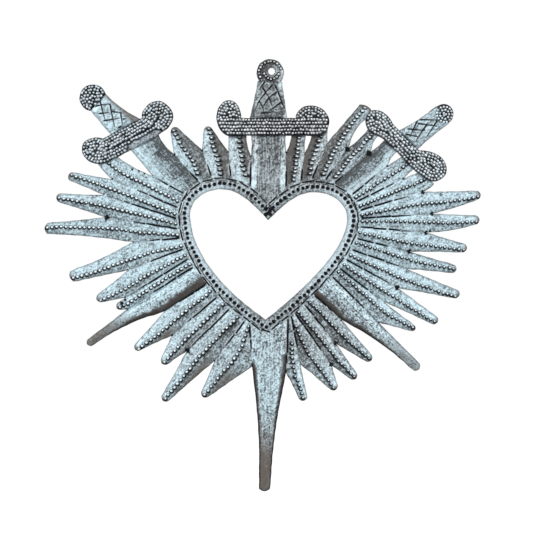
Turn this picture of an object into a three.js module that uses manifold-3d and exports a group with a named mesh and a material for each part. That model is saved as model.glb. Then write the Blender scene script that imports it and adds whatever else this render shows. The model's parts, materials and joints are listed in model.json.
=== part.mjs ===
// Metal sacred heart: a wall ornament cut and embossed by hand from one sheet of drum steel.
// A flat rim round an open heart carries three swords, whose points come out on the far side, and 31 rays.
// Each region between the maker's chiselled lines is one mesh. Lengths are millimetres, +Z is up.
// The back lies on the plane y = 0, the front faces -Y, and the origin is the centre of the nail hole.
import * as THREE from "three";
import { mergeVertices } from "three/addons/utils/BufferGeometryUtils.js";
import Module from "manifold-3d";

const wasm = await Module();
wasm.setup();

// Sheet and seams
const SHEET = 1.0; // thickness of the drum steel
const SEAM = 0.3; // clearance along each chiselled line

const REACH = 84; // how far the longest ray stands out beyond the rim; every cut and tip is a share of it

// Heart opening, measured from its centre; each half runs cleft, crown, flank, tip
const CLEFT_RISE = 21.5;
const TIP_DROP = 38.7;
const TIP_LEAN = -1.5;
const LEFT_LOBE = { side: -1, crown: [28.3, 18.4], flank: [47.1, 3.0], flankRun: 21, waist: [29.2, -41.5] };
const RIGHT_LOBE = { side: 1, crown: [27.5, 16.6], flank: [47.6, 1.0], flankRun: 17, waist: [26.8, -38] };
const RIM_WIDTH = 7.0;

// Handles of the curves round a lobe, as shares of their spans
const LOBE_HANDLES = { cleft: [0.33, 0.53], crownIn: 0.61, crownOut: 0.57, flank: 0.53 };

// Embossed relief, as heights above the sheet's plane
const GUARD_RISE = 1.6;
const GUARD_BORDER = 2.6; // width of the slope round a guard
const GRIP_RISE = 1.7;
const POMMEL_RISE = 1.4;
const POMMEL_SLOPE = 0.4; // share of a pommel's radius that its slope takes up

// Relief along a tongue. Its ridge starts at a share of its height at the foot and falls back at the tip;
// rise and fall are how steeply, over the whole length.
const RELIEF = {
  ray: { ridge: 1.9, foot: 0.4, rise: 3, tip: 0.4, fall: 2.5 },
  blade: { ridge: 1.5, foot: 0.4, rise: 4, tip: 1, fall: 0 },
  point: { ridge: 2.6, foot: 0.3, rise: 3, tip: 0.35, fall: 2.4 },
};

// Ray tips
const RAY_TIP_WIDTH = 4.6;
const RAY_TIP_NOSE = 1.5; // how far the rounded end stands past its corners

// Nail hole in the centre pommel
const NAIL_HOLE = { radius: 2.3, across: 0.7, up: 0.9 };

// Swords. neck is where the blade meets the guard: a bearing, and a share of REACH beyond the rim. tilt turns
// the guard. A lobe's points are across and up from the neck, along and square to the guard's bar. Its foot
// stands on the bar, under is where its heel meets the bar's underside, and upright is how straight, from
// 0 to 1, the crown's curve comes down at the foot. A grip's waist draws its left and its right edge in.
const SWORDS = {
  centre: {
    neck: [89.9, 0.482],
    tilt: 0,
    bladeWidth: 21,
    barHeight: 10.2,
    leftLobe: {
      foot: -16.4,
      under: -14,
      upright: 1,
      crown: [-23.6, 20.9],
      outer: [-31, 11],
      heel: [-22, -0.5],
    },
    rightLobe: {
      foot: 16.5,
      under: 20,
      upright: 1,
      crown: [25.5, 17.7],
      outer: [36.2, 8],
      heel: [30, -0.2],
    },
    grip: { across: 0, baseWidth: 22, endWidth: 14.2, length: 27.3, lean: -2.3, waist: [0.3, 0] },
    pommel: { radius: 8.0, seat: 5.1 },
  },
  left: {
    neck: [137.7, 0.467],
    tilt: 28,
    bladeWidth: 20,
    barHeight: 13.5,
    leftLobe: {
      foot: -21,
      under: -12,
      upright: 0.3,
      crown: [-29.5, 17.3],
      outer: [-35.6, 10.5],
      heel: [-24, 0.2],
    },
    rightLobe: {
      foot: 6,
      under: 6,
      upright: 0.8,
      crown: [15.5, 19],
      outer: [23.4, 9],
      heel: [12, 0.6],
    },
    grip: { across: -5.6, baseWidth: 19.6, endWidth: 13.2, length: 26.2, lean: 20, waist: [0, 1.1] },
    pommel: { radius: 7.8, seat: 4.2 },
  },
  right: {
    neck: [41.6, 0.46],
    tilt: -45.6,
    bladeWidth: 11.5,
    barHeight: 9.8,
    leftLobe: {
      foot: -9,
      under: -5,
      upright: 0.2,
      crown: [-15, 10.9],
      outer: [-23.6, 4.5],
      heel: [-15, -3],
    },
    rightLobe: {
      foot: 13.4,
      under: 20,
      upright: 0,
      crown: [26.3, 16.5],
      outer: [35.0, 9.3],
      heel: [28, 1.5],
    },
    grip: { across: 4.5, baseWidth: 15.4, endWidth: 12.6, length: 26.1, lean: -8, waist: [0.8, 0.4] },
    pommel: { radius: 5.9, seat: 0.5 },
  },
};

// Tongues between cuts, clockwise. A bearing is in degrees anticlockwise from +X, seen from the front.
// The cut after a tongue runs from its foot, a bearing on the rim, to its notch. A notch or a tip is a
// bearing, and a share of REACH beyond the rim.
// A ray ends free at its tip, or at its end on a sword's guard: across, up and width there.
// A waist draws in the edge beside the cut after the tongue, then the edge beside the cut before it.
// The middle of a blade or point runs to the rim's cleft or tip where it names one.
const TONGUES = [
  {
    name: "centre_blade",
    blade: "centre", middle: "cleft", waist: [0.6, 0.6],
    foot: 75, notch: [80, 0.298],
  },
  {
    name: "top_right_ray_1",
    end: ["centre", 18.5, 3, 8.7], waist: [0.5, 0.8],
    foot: 66.3, notch: [70.3, 0.232],
  },
  {
    name: "top_right_ray_2",
    end: ["centre", 31, 3, 8.4], waist: [0, 0.6],
    foot: 59.8, notch: [62.3, 0.301],
  },
  {
    name: "top_right_ray_3",
    tip: [56.2, 0.631], width: 9, waist: [2.6, 0],
    foot: 52.9, notch: [53.3, 0.292],
  },
  {
    name: "top_right_ray_4",
    end: ["right", -13.8, 2, 7.8], waist: [1.5, 1],
    foot: 47.6, notch: [45.3, 0.333],
  },
  { name: "right_blade", blade: "right", waist: [1.6, 0.6], foot: 35.8, notch: [36.9, 0.337] },
  { name: "right_ray_1", end: ["right", 14.2, 2, 9.6], foot: 31.3, notch: [29.6, 0.376] },
  {
    name: "right_ray_2",
    end: ["right", 28.8, 2.5, 10.4], waist: [-1.2, 0],
    foot: 26.4, notch: [22.8, 0.46],
  },
  { name: "right_ray_3", tip: [16, 0.91], waist: [-0.7, 0], foot: 22, notch: [14.4, 0.543] },
  { name: "right_ray_4", tip: [9.6, 0.905], waist: [-1.3, 0], foot: 17.5, notch: [8.4, 0.517] },
  { name: "right_ray_5", tip: [2, 0.845], foot: 11, notch: [1.7, 0.429] },
  { name: "right_ray_6", tip: [-4.3, 0.811], foot: 4.2, notch: [-5.4, 0.455] },
  { name: "right_ray_7", tip: [-11.8, 0.895], foot: -2.5, notch: [-14, 0.462] },
  { name: "right_ray_8", tip: [-21.5, 0.837], foot: -9.9, notch: [-21.7, 0.415] },
  { name: "right_ray_9", tip: [-26.9, 0.726], width: 3.8, foot: -18, notch: [-31.2, 0.48] },
  {
    name: "left_sword_point",
    point: true, tip: [-37, 0.918], width: 5, waist: [1.7, 0],
    foot: -40.8, notch: [-41.2, 0.264],
  },
  { name: "bottom_right_ray_1", tip: [-45.6, 0.625], foot: -53.5, notch: [-52.5, 0.365] },
  { name: "bottom_right_ray_2", tip: [-54.7, 0.651], foot: -65, notch: [-60, 0.471] },
  { name: "bottom_right_ray_3", tip: [-63.5, 0.632], foot: -69, notch: [-73.5, 0.338] },
  { name: "bottom_right_ray_4", tip: [-76.3, 0.59], foot: -72.3, notch: [-81.3, 0.342] },
  {
    name: "centre_sword_point",
    point: true, tip: [-90.9, 1.121], width: 6.2, waist: [1.5, 1.5], middle: "tip",
    foot: -105.5, notch: [-98.3, 0.274],
  },
  { name: "bottom_left_ray_1", tip: [-114.6, 0.635], foot: -109.5, notch: [-116.9, 0.368] },
  { name: "bottom_left_ray_2", tip: [-125.9, 0.819], foot: -125.5, notch: [-130.4, 0.436] },
  { name: "bottom_left_ray_3", tip: [-134.5, 0.624], foot: -141, notch: [-140.3, 0.431] },
  { name: "bottom_left_ray_4", tip: [-144.9, 0.7], width: 4, foot: -155, notch: [-151.7, 0.36] },
  {
    name: "right_sword_point",
    point: true, tip: [-153.9, 0.96], width: 4.2, waist: [0, 2.2],
    foot: -171.6, notch: [-159.1, 0.586],
  },
  { name: "left_ray_1", tip: [-160.9, 0.649], width: 4, foot: -178, notch: [-163.6, 0.552] },
  { name: "left_ray_2", tip: [-165.5, 0.754], foot: -184.8, notch: [-174.1, 0.456] },
  {
    name: "left_ray_3",
    tip: [-173.8, 0.883], width: 6.2, waist: [0.8, 0],
    foot: -191.3, notch: [-185.7, 0.365],
  },
  { name: "left_ray_4", tip: [-186.9, 1], width: 6, waist: [0, 0.8], foot: -196.6, notch: [-193.2, 0.543] },
  { name: "left_ray_5", tip: [-195.4, 0.912], foot: -202, notch: [-200.2, 0.554] },
  { name: "left_ray_6", tip: [-201.8, 0.843], foot: -207.8, notch: [-206, 0.518] },
  {
    name: "left_ray_7",
    end: ["left", -25.2, 3, 10.8], waist: [1.1, -0.6],
    foot: -216.3, notch: [-214.5, 0.257],
  },
  { name: "left_blade", blade: "left", waist: [1.6, 0], foot: -226.8, notch: [-227, 0.269] },
  { name: "top_left_ray_1", tip: [-233.2, 0.449], foot: -233.9, notch: [-237.8, 0.227] },
  { name: "top_left_ray_2", tip: [-244.5, 0.408], foot: -244.5, notch: [-248.9, 0.22] },
  {
    name: "top_left_ray_3",
    end: ["centre", -18.6, 3, 10.2], waist: [0.8, 0],
    foot: -255.5, notch: [-260, 0.254],
  },
];

// A blade runs this share of the bar's height into its guard before it is cut back to the seam
const BLADE_OVERRUN = 0.33;
const CLEARING_DEPTH = 12; // reaches past the front and the back of every piece
const SLOPE_LIMIT = 0.6; // most of the way to a guard's spine that its slope may take up
const RUN_ON = 3; // how far a half heart's line runs on past its tip, as a share of its distance
const ROUND = 0.55; // handle of a quarter round, as a share of its radius

// Counts of facets
const HALF_RIM_STEPS = 46;
const CURVE_STEPS = 24;
const QUARTER_STEPS = 5;
const POMMEL_ARC_STEPS = 20;
const POMMEL_CHORD_STEPS = 6;
const TONGUE_STEPS = 3; // beside each cut, and again beside each free edge
const RAY_HALF_STEPS = 2; // from a ray's crest to its edge
const BLADE_HALF_STEPS = 4; // the same on a blade or a sword point
const FIVE_SHARES = [0, 0.25, 0.5, 0.75, 1]; // the rows of a grip, and its columns

// Tolerances
const PARALLEL = 1e-12;
const ON_LINE = 1e-9;
const WELD = 1e-5;

// Plane geometry. A point is a Vector2: x to the right, y up; it becomes x and z of the object.
const at = (x, y) => new THREE.Vector2(x, y);
const mix = (a, b, t) => a.clone().lerp(b, t);
const polarPoint = (bearing, radius) => {
  const angle = THREE.MathUtils.degToRad(bearing);
  return at(radius * Math.cos(angle), radius * Math.sin(angle));
};
const bearingOf = (point) => THREE.MathUtils.radToDeg(Math.atan2(point.y, point.x));

/** Where the lines a-b and c-d cross: the shares of each line, or null where they are parallel. */
function crossing(a, b, c, d) {
  const ab = b.clone().sub(a);
  const cd = d.clone().sub(c);
  const ac = c.clone().sub(a);
  const turn = ab.cross(cd);
  if (Math.abs(turn) < PARALLEL) return null;
  return [ac.cross(cd) / turn, ac.cross(ab) / turn];
}

// The heart

/** One half of the heart opening, from its cleft down to its tip. */
function halfHeart({ side, crown, flank, flankRun, waist }) {
  const tip = [TIP_LEAN * side, -CLEFT_RISE - TIP_DROP];
  const place = ([across, up]) => at(side * across, up + CLEFT_RISE);
  const { cleft, crownIn, crownOut, flank: flankShare } = LOBE_HANDLES;
  const intoCrown = [[cleft[0] * crown[0], cleft[1] * crown[1]], [crownIn * crown[0], crown[1]]];
  const outOfCrown = [
    [crown[0] + crownOut * (flank[0] - crown[0]), crown[1]],
    [flank[0], flank[1] + flankShare * (crown[1] - flank[1])],
  ];
  const spans = [
    [[0, 0], ...intoCrown, crown],
    [crown, ...outOfCrown, flank],
    [flank, [flank[0], flank[1] - flankRun], waist, tip],
  ];
  const curveOf = (span) => new THREE.CubicBezierCurve(...span.map(place));
  return [place([0, 0]), ...spans.flatMap((span) => curveOf(span).getPoints(CURVE_STEPS).slice(1))];
}

/** The half heart moved outwards, and run on straight past the tip. */
function outwards(points, side, distance) {
  const moved = points.map((point, i) => {
    const after = points[Math.min(i + 1, points.length - 1)];
    const along = after.clone().sub(points[Math.max(i - 1, 0)]).normalize();
    return point.clone().add(at(-along.y, along.x).multiplyScalar(side * distance));
  });
  const [before, last] = moved.slice(-2);
  const runOn = last.clone().sub(before).setLength(RUN_ON * distance);
  return distance > 0 ? [...moved, last.clone().add(runOn)] : moved;
}

const HALVES = [LEFT_LOBE, RIGHT_LOBE].map((lobe) => ({ side: lobe.side, points: halfHeart(lobe) }));
const heartLines = new Map();

/** The two half lines that lie a distance outside the heart opening. */
function linesAt(distance) {
  if (!heartLines.has(distance)) {
    heartLines.set(distance, HALVES.map(({ side, points }) => outwards(points, side, distance)));
  }
  return heartLines.get(distance);
}

/** The point at a bearing on the line that lies a distance outside the heart opening. */
function heartPoint(bearing, distance) {
  const aim = polarPoint(bearing, 1);
  const centre = at(0, 0);
  const radii = [];
  for (const line of linesAt(distance)) {
    for (let i = 1; i < line.length; i += 1) {
      const shares = crossing(centre, aim, line[i - 1], line[i]);
      if (shares && shares[0] > 0 && Math.abs(shares[1] - 0.5) <= 0.5 + ON_LINE) radii.push(shares[0]);
    }
  }
  return aim.multiplyScalar(aim.y > 0 ? Math.max(...radii) : Math.min(...radii));
}

/** The corner of that line at the cleft or at the tip. */
function heartCorner(which, distance) {
  const [left, right] = linesAt(distance);
  if (distance === 0) return which === "cleft" ? left[0].clone() : left.at(-1).clone();
  for (let i = 1; i < left.length; i += 1) {
    for (let j = 1; j < right.length; j += 1) {
      const shares = crossing(left[i - 1], left[i], right[j - 1], right[j]);
      const meets = shares && shares.every((share) => share >= 0 && share <= 1);
      const corner = meets && mix(left[i - 1], left[i], shares[0]);
      if (corner && corner.y > 0 === (which === "cleft")) return corner;
    }
  }
  throw new Error(`the rim has no ${which}`);
}

const RIM_LINE = RIM_WIDTH;
const FOOT_LINE = RIM_WIDTH + SEAM;
const beyondRim = ([bearing, share]) => {
  const foot = heartPoint(bearing, RIM_LINE);
  return foot.clone().setLength(foot.length() + share * REACH);
};

// Formed sheet

/** Triangles of a strip between rows of [point, height], each row as long as the next. */
function strip(rows) {
  const triangles = [];
  for (let j = 1; j < rows.length; j += 1) {
    for (let k = 1; k < rows[j].length; k += 1) {
      const [a, b, c, d] = [rows[j - 1][k - 1], rows[j - 1][k], rows[j][k], rows[j][k - 1]];
      triangles.push([a, b, c], [a, c, d]);
    }
  }
  return triangles;
}

/** Closed solid of a sheet whose front shows the triangles; it keeps its thickness along Y. */
function formedSheet(triangles, thickness = SHEET) {
  const area = ([a, b, c]) => b[0].clone().sub(a[0]).cross(c[0].clone().sub(a[0]));
  const turned = ([a, b, c]) => [a, c, b];
  const facing = triangles.map((corners) => (area(corners) > 0 ? corners : turned(corners)));
  const ids = new Map();
  const spots = [];
  const idOf = ([point, height]) => {
    const key = `${point.x.toFixed(4)},${point.y.toFixed(4)}`;
    if (!ids.has(key)) {
      ids.set(key, spots.length);
      spots.push([point.x, height, point.y]);
    }
    return ids.get(key);
  };
  const whole = ([a, b, c]) => a !== b && b !== c && c !== a;
  const faces = facing.map((corners) => corners.map(idOf)).filter(whole);
  const front = spots.map(([x, height, z]) => [x, -height - thickness, z]);
  const back = spots.map(([x, height, z]) => [x, -height, z]);
  const edges = new Set(faces.flatMap(([a, b, c]) => [`${a} ${b}`, `${b} ${c}`, `${c} ${a}`]));
  const edgeEnds = [...edges].map((edge) => edge.split(" ").map(Number));
  const rims = edgeEnds.filter(([a, b]) => !edges.has(`${b} ${a}`));
  const count = spots.length;
  const index = [
    ...faces.flat(),
    ...faces.flatMap(([a, b, c]) => [a + count, c + count, b + count]),
    ...rims.flatMap(([a, b]) => [a, a + count, b + count, a, b + count, b]),
  ];
  const geometry = new THREE.BufferGeometry();
  geometry.setAttribute("position", new THREE.Float32BufferAttribute([...front, ...back].flat(), 3));
  geometry.setIndex(index);
  return geometry;
}

/** The outline moved outwards, for an outline that runs anticlockwise. */
function grown(outline, distance) {
  return outline.map((point, i) => {
    const before = outline.at(i - 1);
    const after = outline[(i + 1) % outline.length];
    const along = after.clone().sub(before).normalize();
    return point.clone().add(at(along.y, -along.x).multiplyScalar(distance));
  });
}

/** The point of a line through several points that lies nearest to a point. */
function nearestOn(line, point) {
  const spots = line.slice(1).map((to, i) => {
    const from = line[i];
    const along = to.clone().sub(from);
    const share = point.clone().sub(from).dot(along) / along.lengthSq();
    return mix(from, to, THREE.MathUtils.clamp(share, 0, 1));
  });
  return spots.sort((a, b) => a.distanceTo(point) - b.distanceTo(point))[0];
}

/** Triangles of a plate whose border slopes up, towards its spine, to a flat top. */
function raisedPlate(outline, spine, border, rise) {
  const top = outline.map((point) => {
    const centre = nearestOn(spine, point);
    return mix(point, centre, Math.min(SLOPE_LIMIT, border / point.distanceTo(centre)));
  });
  const low = [...outline, outline[0]].map((point) => [point, 0]);
  const high = [...top, top[0]].map((point) => [point, rise]);
  const flat = THREE.ShapeUtils.triangulateShape(top, []);
  return [...strip([low, high]), ...flat.map((corners) => corners.map((i) => [top[i], rise]))];
}

// Booleans

function toSolid(geometry) {
  const merged = mergeVertices(geometry, WELD);
  const vertProperties = new Float32Array(merged.attributes.position.array);
  const triVerts = new Uint32Array(merged.index.array);
  return new wasm.Manifold(new wasm.Mesh({ numProp: 3, vertProperties, triVerts }));
}

function toGeometry(solid) {
  const mesh = solid.getMesh();
  const geometry = new THREE.BufferGeometry();
  geometry.setAttribute("position", new THREE.Float32BufferAttribute(mesh.vertProperties, 3));
  geometry.setIndex([...mesh.triVerts]);
  return geometry;
}

// The rim

/** The flat band round the opening. */
function rimGeometry() {
  const rows = [0, 0.5, 1].map((share) => {
    const line = share * RIM_LINE;
    const cleft = bearingOf(heartCorner("cleft", line));
    const tip = bearingOf(heartCorner("tip", line));
    const halves = [["cleft", cleft, tip], ["tip", tip, cleft - 360]];
    const row = halves.flatMap(([corner, from, to]) =>
      Array.from({ length: HALF_RIM_STEPS }, (_, i) => {
        const bearing = THREE.MathUtils.lerp(from, to, i / HALF_RIM_STEPS);
        return [i === 0 ? heartCorner(corner, line) : heartPoint(bearing, line), 0];
      }),
    );
    return [...row, row[0]];
  });
  return formedSheet(strip(rows));
}

// Swords

/** The frame of a sword's guard: turns across and up, measured from the neck, into a point. */
function guardFrame({ neck, tilt }) {
  const origin = beyondRim(neck);
  const across = polarPoint(tilt, 1);
  const up = polarPoint(tilt + 90, 1);
  return (a, u) => origin.clone().addScaledVector(across, a).addScaledVector(up, u);
}

/** A quarter round from a point where the line runs across to one where it runs up, or the other way. */
function quarter(from, to, startsAcross, upright = 1) {
  const reach = to.clone().sub(from).multiplyScalar(ROUND);
  const first = startsAcross ? at(from.x + reach.x, from.y) : at(from.x, from.y + reach.y);
  const second = startsAcross ? at(to.x, to.y - upright * reach.y) : at(to.x - reach.x, to.y);
  return new THREE.CubicBezierCurve(from, first, second, to).getPoints(QUARTER_STEPS).slice(1);
}

/** One lobe of a guard, from the bar's underside round to its foot on the bar's top. */
function lobeLine({ foot, under, upright, crown, outer, heel }, barHeight) {
  const [heelAt, outerAt, crownAt, footAt] = [at(...heel), at(...outer), at(...crown), at(foot, barHeight)];
  return [
    at(under, 0),
    heelAt,
    ...quarter(heelAt, outerAt, true),
    ...quarter(outerAt, crownAt, false),
    ...quarter(crownAt, footAt, true, upright),
  ];
}

/** The guard's outline, anticlockwise. */
function guardOutline(sword) {
  const place = guardFrame(sword);
  const left = lobeLine(sword.leftLobe, sword.barHeight);
  const right = lobeLine(sword.rightLobe, sword.barHeight);
  const local = [...right, ...left.reverse()];
  return local.map(({ x, y }) => place(x, y));
}

function guardGeometry(sword) {
  const place = guardFrame(sword);
  const barCentre = ({ foot }) => place(foot, sword.barHeight / 2);
  const lobeCentre = ({ foot, crown, outer, heel }) =>
    place((foot + outer[0]) / 2, (crown[1] + heel[1]) / 2);
  const { leftLobe, rightLobe } = sword;
  const spine = [lobeCentre(leftLobe), barCentre(leftLobe), barCentre(rightLobe), lobeCentre(rightLobe)];
  return formedSheet(raisedPlate(guardOutline(sword), spine, GUARD_BORDER, GUARD_RISE));
}

/** The grip's frame: its base on the guard's bar, its axis and the pommel's centre. */
function gripFrame(sword) {
  const place = guardFrame(sword);
  const { across, length, lean } = sword.grip;
  const base = place(across, sword.barHeight);
  const axis = polarPoint(sword.tilt + 90 + lean, 1);
  const side = at(axis.y, -axis.x);
  return { place, base, axis, side, pommel: base.clone().addScaledVector(axis, length) };
}

function gripGeometry(sword) {
  const { place, axis, side, pommel } = gripFrame(sword);
  const { across, baseWidth, endWidth, waist } = sword.grip;
  const end = pommel.clone().addScaledVector(axis, -sword.pommel.seat - SEAM);
  const rows = FIVE_SHARES.map((share) =>
    FIVE_SHARES.map((column) => {
      const u = 2 * column - 1;
      const low = place(across + (u * baseWidth) / 2, sword.barHeight + SEAM);
      const high = end.clone().addScaledVector(side, (u * endWidth) / 2);
      const drawnIn = 4 * share * (1 - share) * waist[u < 0 ? 0 : 1] * -u;
      return [mix(low, high, share).addScaledVector(side, drawnIn), GRIP_RISE * (1 - u * u)];
    }),
  );
  return formedSheet(strip(rows));
}

/** The pommel: a disc cut straight where the grip begins, domed, and pierced where it has a nail hole. */
function pommelGeometry(sword, hole) {
  const { axis, side, pommel } = gripFrame(sword);
  const { radius, seat } = sword.pommel;
  const corner = Math.asin(seat / radius);
  const place = (a, u) => pommel.clone().addScaledVector(side, a).addScaledVector(axis, u);
  const outline = [];
  for (let i = 0; i <= POMMEL_ARC_STEPS; i += 1) {
    const angle = -corner + ((Math.PI + 2 * corner) * i) / POMMEL_ARC_STEPS;
    outline.push(place(radius * Math.cos(angle), radius * Math.sin(angle)));
  }
  for (let i = 1; i < POMMEL_CHORD_STEPS; i += 1) {
    outline.push(mix(outline[POMMEL_ARC_STEPS], outline[0], i / POMMEL_CHORD_STEPS));
  }
  const centre = hole ? place(hole.across, hole.up) : place(0, 0);
  const innerRadius = hole ? hole.radius : 0;
  const ring = (share, height) =>
    [...outline, outline[0]].map((point) => {
      const inner = point.clone().sub(centre).setLength(innerRadius).add(centre);
      return [mix(inner, point, share), height];
    });
  return formedSheet(strip([ring(1, 0), ring(1 - POMMEL_SLOPE, POMMEL_RISE), ring(0, POMMEL_RISE)]));
}

/** Centre of the nail hole. */
function nailHoleCentre(sword) {
  const { axis, side, pommel } = gripFrame(sword);
  return pommel.clone().addScaledVector(side, NAIL_HOLE.across).addScaledVector(axis, NAIL_HOLE.up);
}

// Tongues: the rays, the blades and the sword points

/** The cut before or after a tongue, moved into the tongue by half a seam. */
function cutSide({ foot, notch }, inward) {
  const from = heartPoint(foot, FOOT_LINE);
  const to = beyondRim(notch);
  const away = to.clone().sub(from).normalize();
  const step = at(away.y, -away.x).multiplyScalar((inward * SEAM) / 2);
  return { footBearing: bearingOf(from.add(step)), notch: to.add(step) };
}

/** The tongue's outer end: its two corners, left and right as seen from the rim, and its middle. */
function tongueEnd(tongue, root) {
  if (tongue.blade) {
    const sword = SWORDS[tongue.blade];
    const place = guardFrame(sword);
    const inside = sword.barHeight * BLADE_OVERRUN;
    const half = sword.bladeWidth / 2;
    return { left: place(-half, inside), right: place(half, inside), middle: place(0, inside) };
  }
  if (tongue.end) {
    const [sword, across, up, width] = tongue.end;
    const place = guardFrame(SWORDS[sword]);
    const [left, right] = [-width / 2, width / 2].map((half) => place(across + half, up));
    return { left, right, middle: place(across, up) };
  }
  const middle = beyondRim(tongue.tip);
  const away = middle.clone().sub(root).normalize();
  const half = at(away.y, -away.x).multiplyScalar((tongue.width ?? RAY_TIP_WIDTH) / 2);
  const back = middle.clone().addScaledVector(away, -RAY_TIP_NOSE);
  return { left: back.clone().sub(half), right: back.clone().add(half), middle };
}

const kindOf = (tongue) => (tongue.blade && "blade") || (tongue.point && "point") || "ray";

/** Height of the relief at u, from -1 at the left edge to 1 at the right, and at a share of the length. */
function relief(kind, u, share) {
  const { ridge, foot, rise, tip, fall } = RELIEF[kind];
  const slope = 1 - Math.abs(u);
  const across = { ray: slope, blade: Math.min(1, 2 * slope), point: 1 - u * u };
  return ridge * across[kind] * Math.min(1, foot + rise * share, tip + fall * (1 - share));
}

/** The rows of a tongue from its foot on the rim to its outer end. */
function tongueRows(tongue, cutBefore, cutAfter) {
  const left = cutSide(cutBefore, 1);
  const right = cutSide(cutAfter, -1);
  const kind = kindOf(tongue);
  const halfSteps = kind === "ray" ? RAY_HALF_STEPS : BLADE_HALF_STEPS;
  const spots = Array.from({ length: 2 * halfSteps + 1 }, (_, k) => k / halfSteps - 1);
  let rightBearing = right.footBearing;
  while (rightBearing > left.footBearing) rightBearing -= 360;
  const corner = tongue.middle && heartCorner(tongue.middle, FOOT_LINE);
  let middleBearing = corner ? bearingOf(corner) : (left.footBearing + rightBearing) / 2;
  while (middleBearing > left.footBearing) middleBearing -= 360;
  const foot = spots.map((u) => {
    if (u === 0 && corner) return corner;
    const end = u < 0 ? left.footBearing : rightBearing;
    return heartPoint(THREE.MathUtils.lerp(middleBearing, end, Math.abs(u)), FOOT_LINE);
  });
  const root = foot[halfSteps];
  const end = tongueEnd(tongue, root);
  const axis = end.middle.clone().sub(root);
  const waist = tongue.waist ?? [0, 0];
  const side = at(axis.y, -axis.x).normalize();
  const free = (notch, tip, pull) => {
    const bend = mix(notch, tip, 0.5).addScaledVector(side, pull);
    return new THREE.QuadraticBezierCurve(notch, bend, tip).getPoints(TONGUE_STEPS).slice(1);
  };
  const cut = (from, to) =>
    Array.from({ length: TONGUE_STEPS }, (_, j) => mix(from, to, (j + 1) / TONGUE_STEPS));
  const lefts = [...cut(foot[0], left.notch), ...free(left.notch, end.left, 2 * waist[1])];
  const rights = [...cut(foot.at(-1), right.notch), ...free(right.notch, end.right, -2 * waist[0])];
  const rows = lefts.map((leftPoint, j) => {
    const rightPoint = rights[j];
    const halfway = mix(leftPoint, rightPoint, 0.5);
    const share = halfway.clone().sub(root).dot(axis) / axis.lengthSq();
    const last = j === lefts.length - 1;
    const crest = last ? end.middle : root.clone().addScaledVector(axis, share);
    const nose = end.middle.clone().sub(mix(end.left, end.right, 0.5));
    return spots.map((u) => {
      const straight = mix(leftPoint, rightPoint, (u + 1) / 2);
      const bent = u < 0 ? mix(crest, leftPoint, -u) : mix(crest, rightPoint, u);
      const point = last ? straight.addScaledVector(nose, 1 - u * u) : bent;
      return [point, relief(kind, u, Math.min(1, share))];
    });
  });
  return [foot.map((point, k) => [point, relief(kind, spots[k], 0)]), ...rows];
}

/** The part of a solid that stays on the rim once the guards have been cleared out of it. */
function clearOf(solid, guards) {
  let rest = solid;
  for (const guard of guards) rest = rest.subtract(guard);
  const pieces = rest.decompose();
  const distance = (piece) => {
    const { min, max } = piece.boundingBox();
    return Math.hypot((min[0] + max[0]) / 2, (min[2] + max[2]) / 2);
  };
  return pieces.sort((a, b) => distance(a) - distance(b))[0];
}

/** A block that holds a guard and its seam. */
function guardClearing(sword) {
  const outline = grown(guardOutline(sword), SEAM);
  const flat = THREE.ShapeUtils.triangulateShape(outline, []);
  const triangles = flat.map((corners) => corners.map((i) => [outline[i], -CLEARING_DEPTH / 2]));
  return toSolid(formedSheet(triangles, CLEARING_DEPTH));
}

// The object

const STEEL = {
  rim: 0x8f9aa0,
  ray: 0x98a4ab,
  blade: 0xa3adb3,
  point: 0x9aa3a6,
  guard: 0x7f898f,
  grip: 0x8a949a,
};
const FINISH = { metalness: 0.9, roughness: 0.42 };
const heart = new THREE.Group();

function addPiece(name, geometry, color) {
  const material = new THREE.MeshStandardMaterial({ color, ...FINISH });
  const mesh = new THREE.Mesh(geometry, material);
  mesh.name = name;
  geometry.computeVertexNormals();
  heart.add(mesh);
}

addPiece("heart_rim", rimGeometry(), STEEL.rim);

const clearings = Object.values(SWORDS).map(guardClearing);
TONGUES.forEach((tongue, i) => {
  const sheet = formedSheet(strip(tongueRows(tongue, TONGUES.at(i - 1), tongue)));
  const geometry = tongue.point ? sheet : toGeometry(clearOf(toSolid(sheet), clearings));
  addPiece(tongue.name, geometry, STEEL[kindOf(tongue)]);
});

for (const [name, sword] of Object.entries(SWORDS)) {
  addPiece(`${name}_guard`, guardGeometry(sword), STEEL.guard);
  addPiece(`${name}_grip`, gripGeometry(sword), STEEL.grip);
  addPiece(`${name}_pommel`, pommelGeometry(sword, name === "centre" ? NAIL_HOLE : null), STEEL.guard);
}

const origin = nailHoleCentre(SWORDS.centre);
heart.position.set(-origin.x, 0, -origin.y);

export default heart;
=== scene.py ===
"""Metal sacred heart: drum steel, cut and embossed by hand, dressed round its CAD frame.

Every region of the sheet takes its outline from its CAD node and gets its real surface here: ridges and
bevels, punched beads, chisel strokes, the rim's dots, hammer marks and the patina of old steel, with
painted shade and highlights.
Plan geometry is worked out in millimetres as rows (x, z), seen from the front; the meshes are in metres.
"""
import json
import math

import bpy
import numpy as np
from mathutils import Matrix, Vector
from mathutils.geometry import delaunay_2d_cdt


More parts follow.
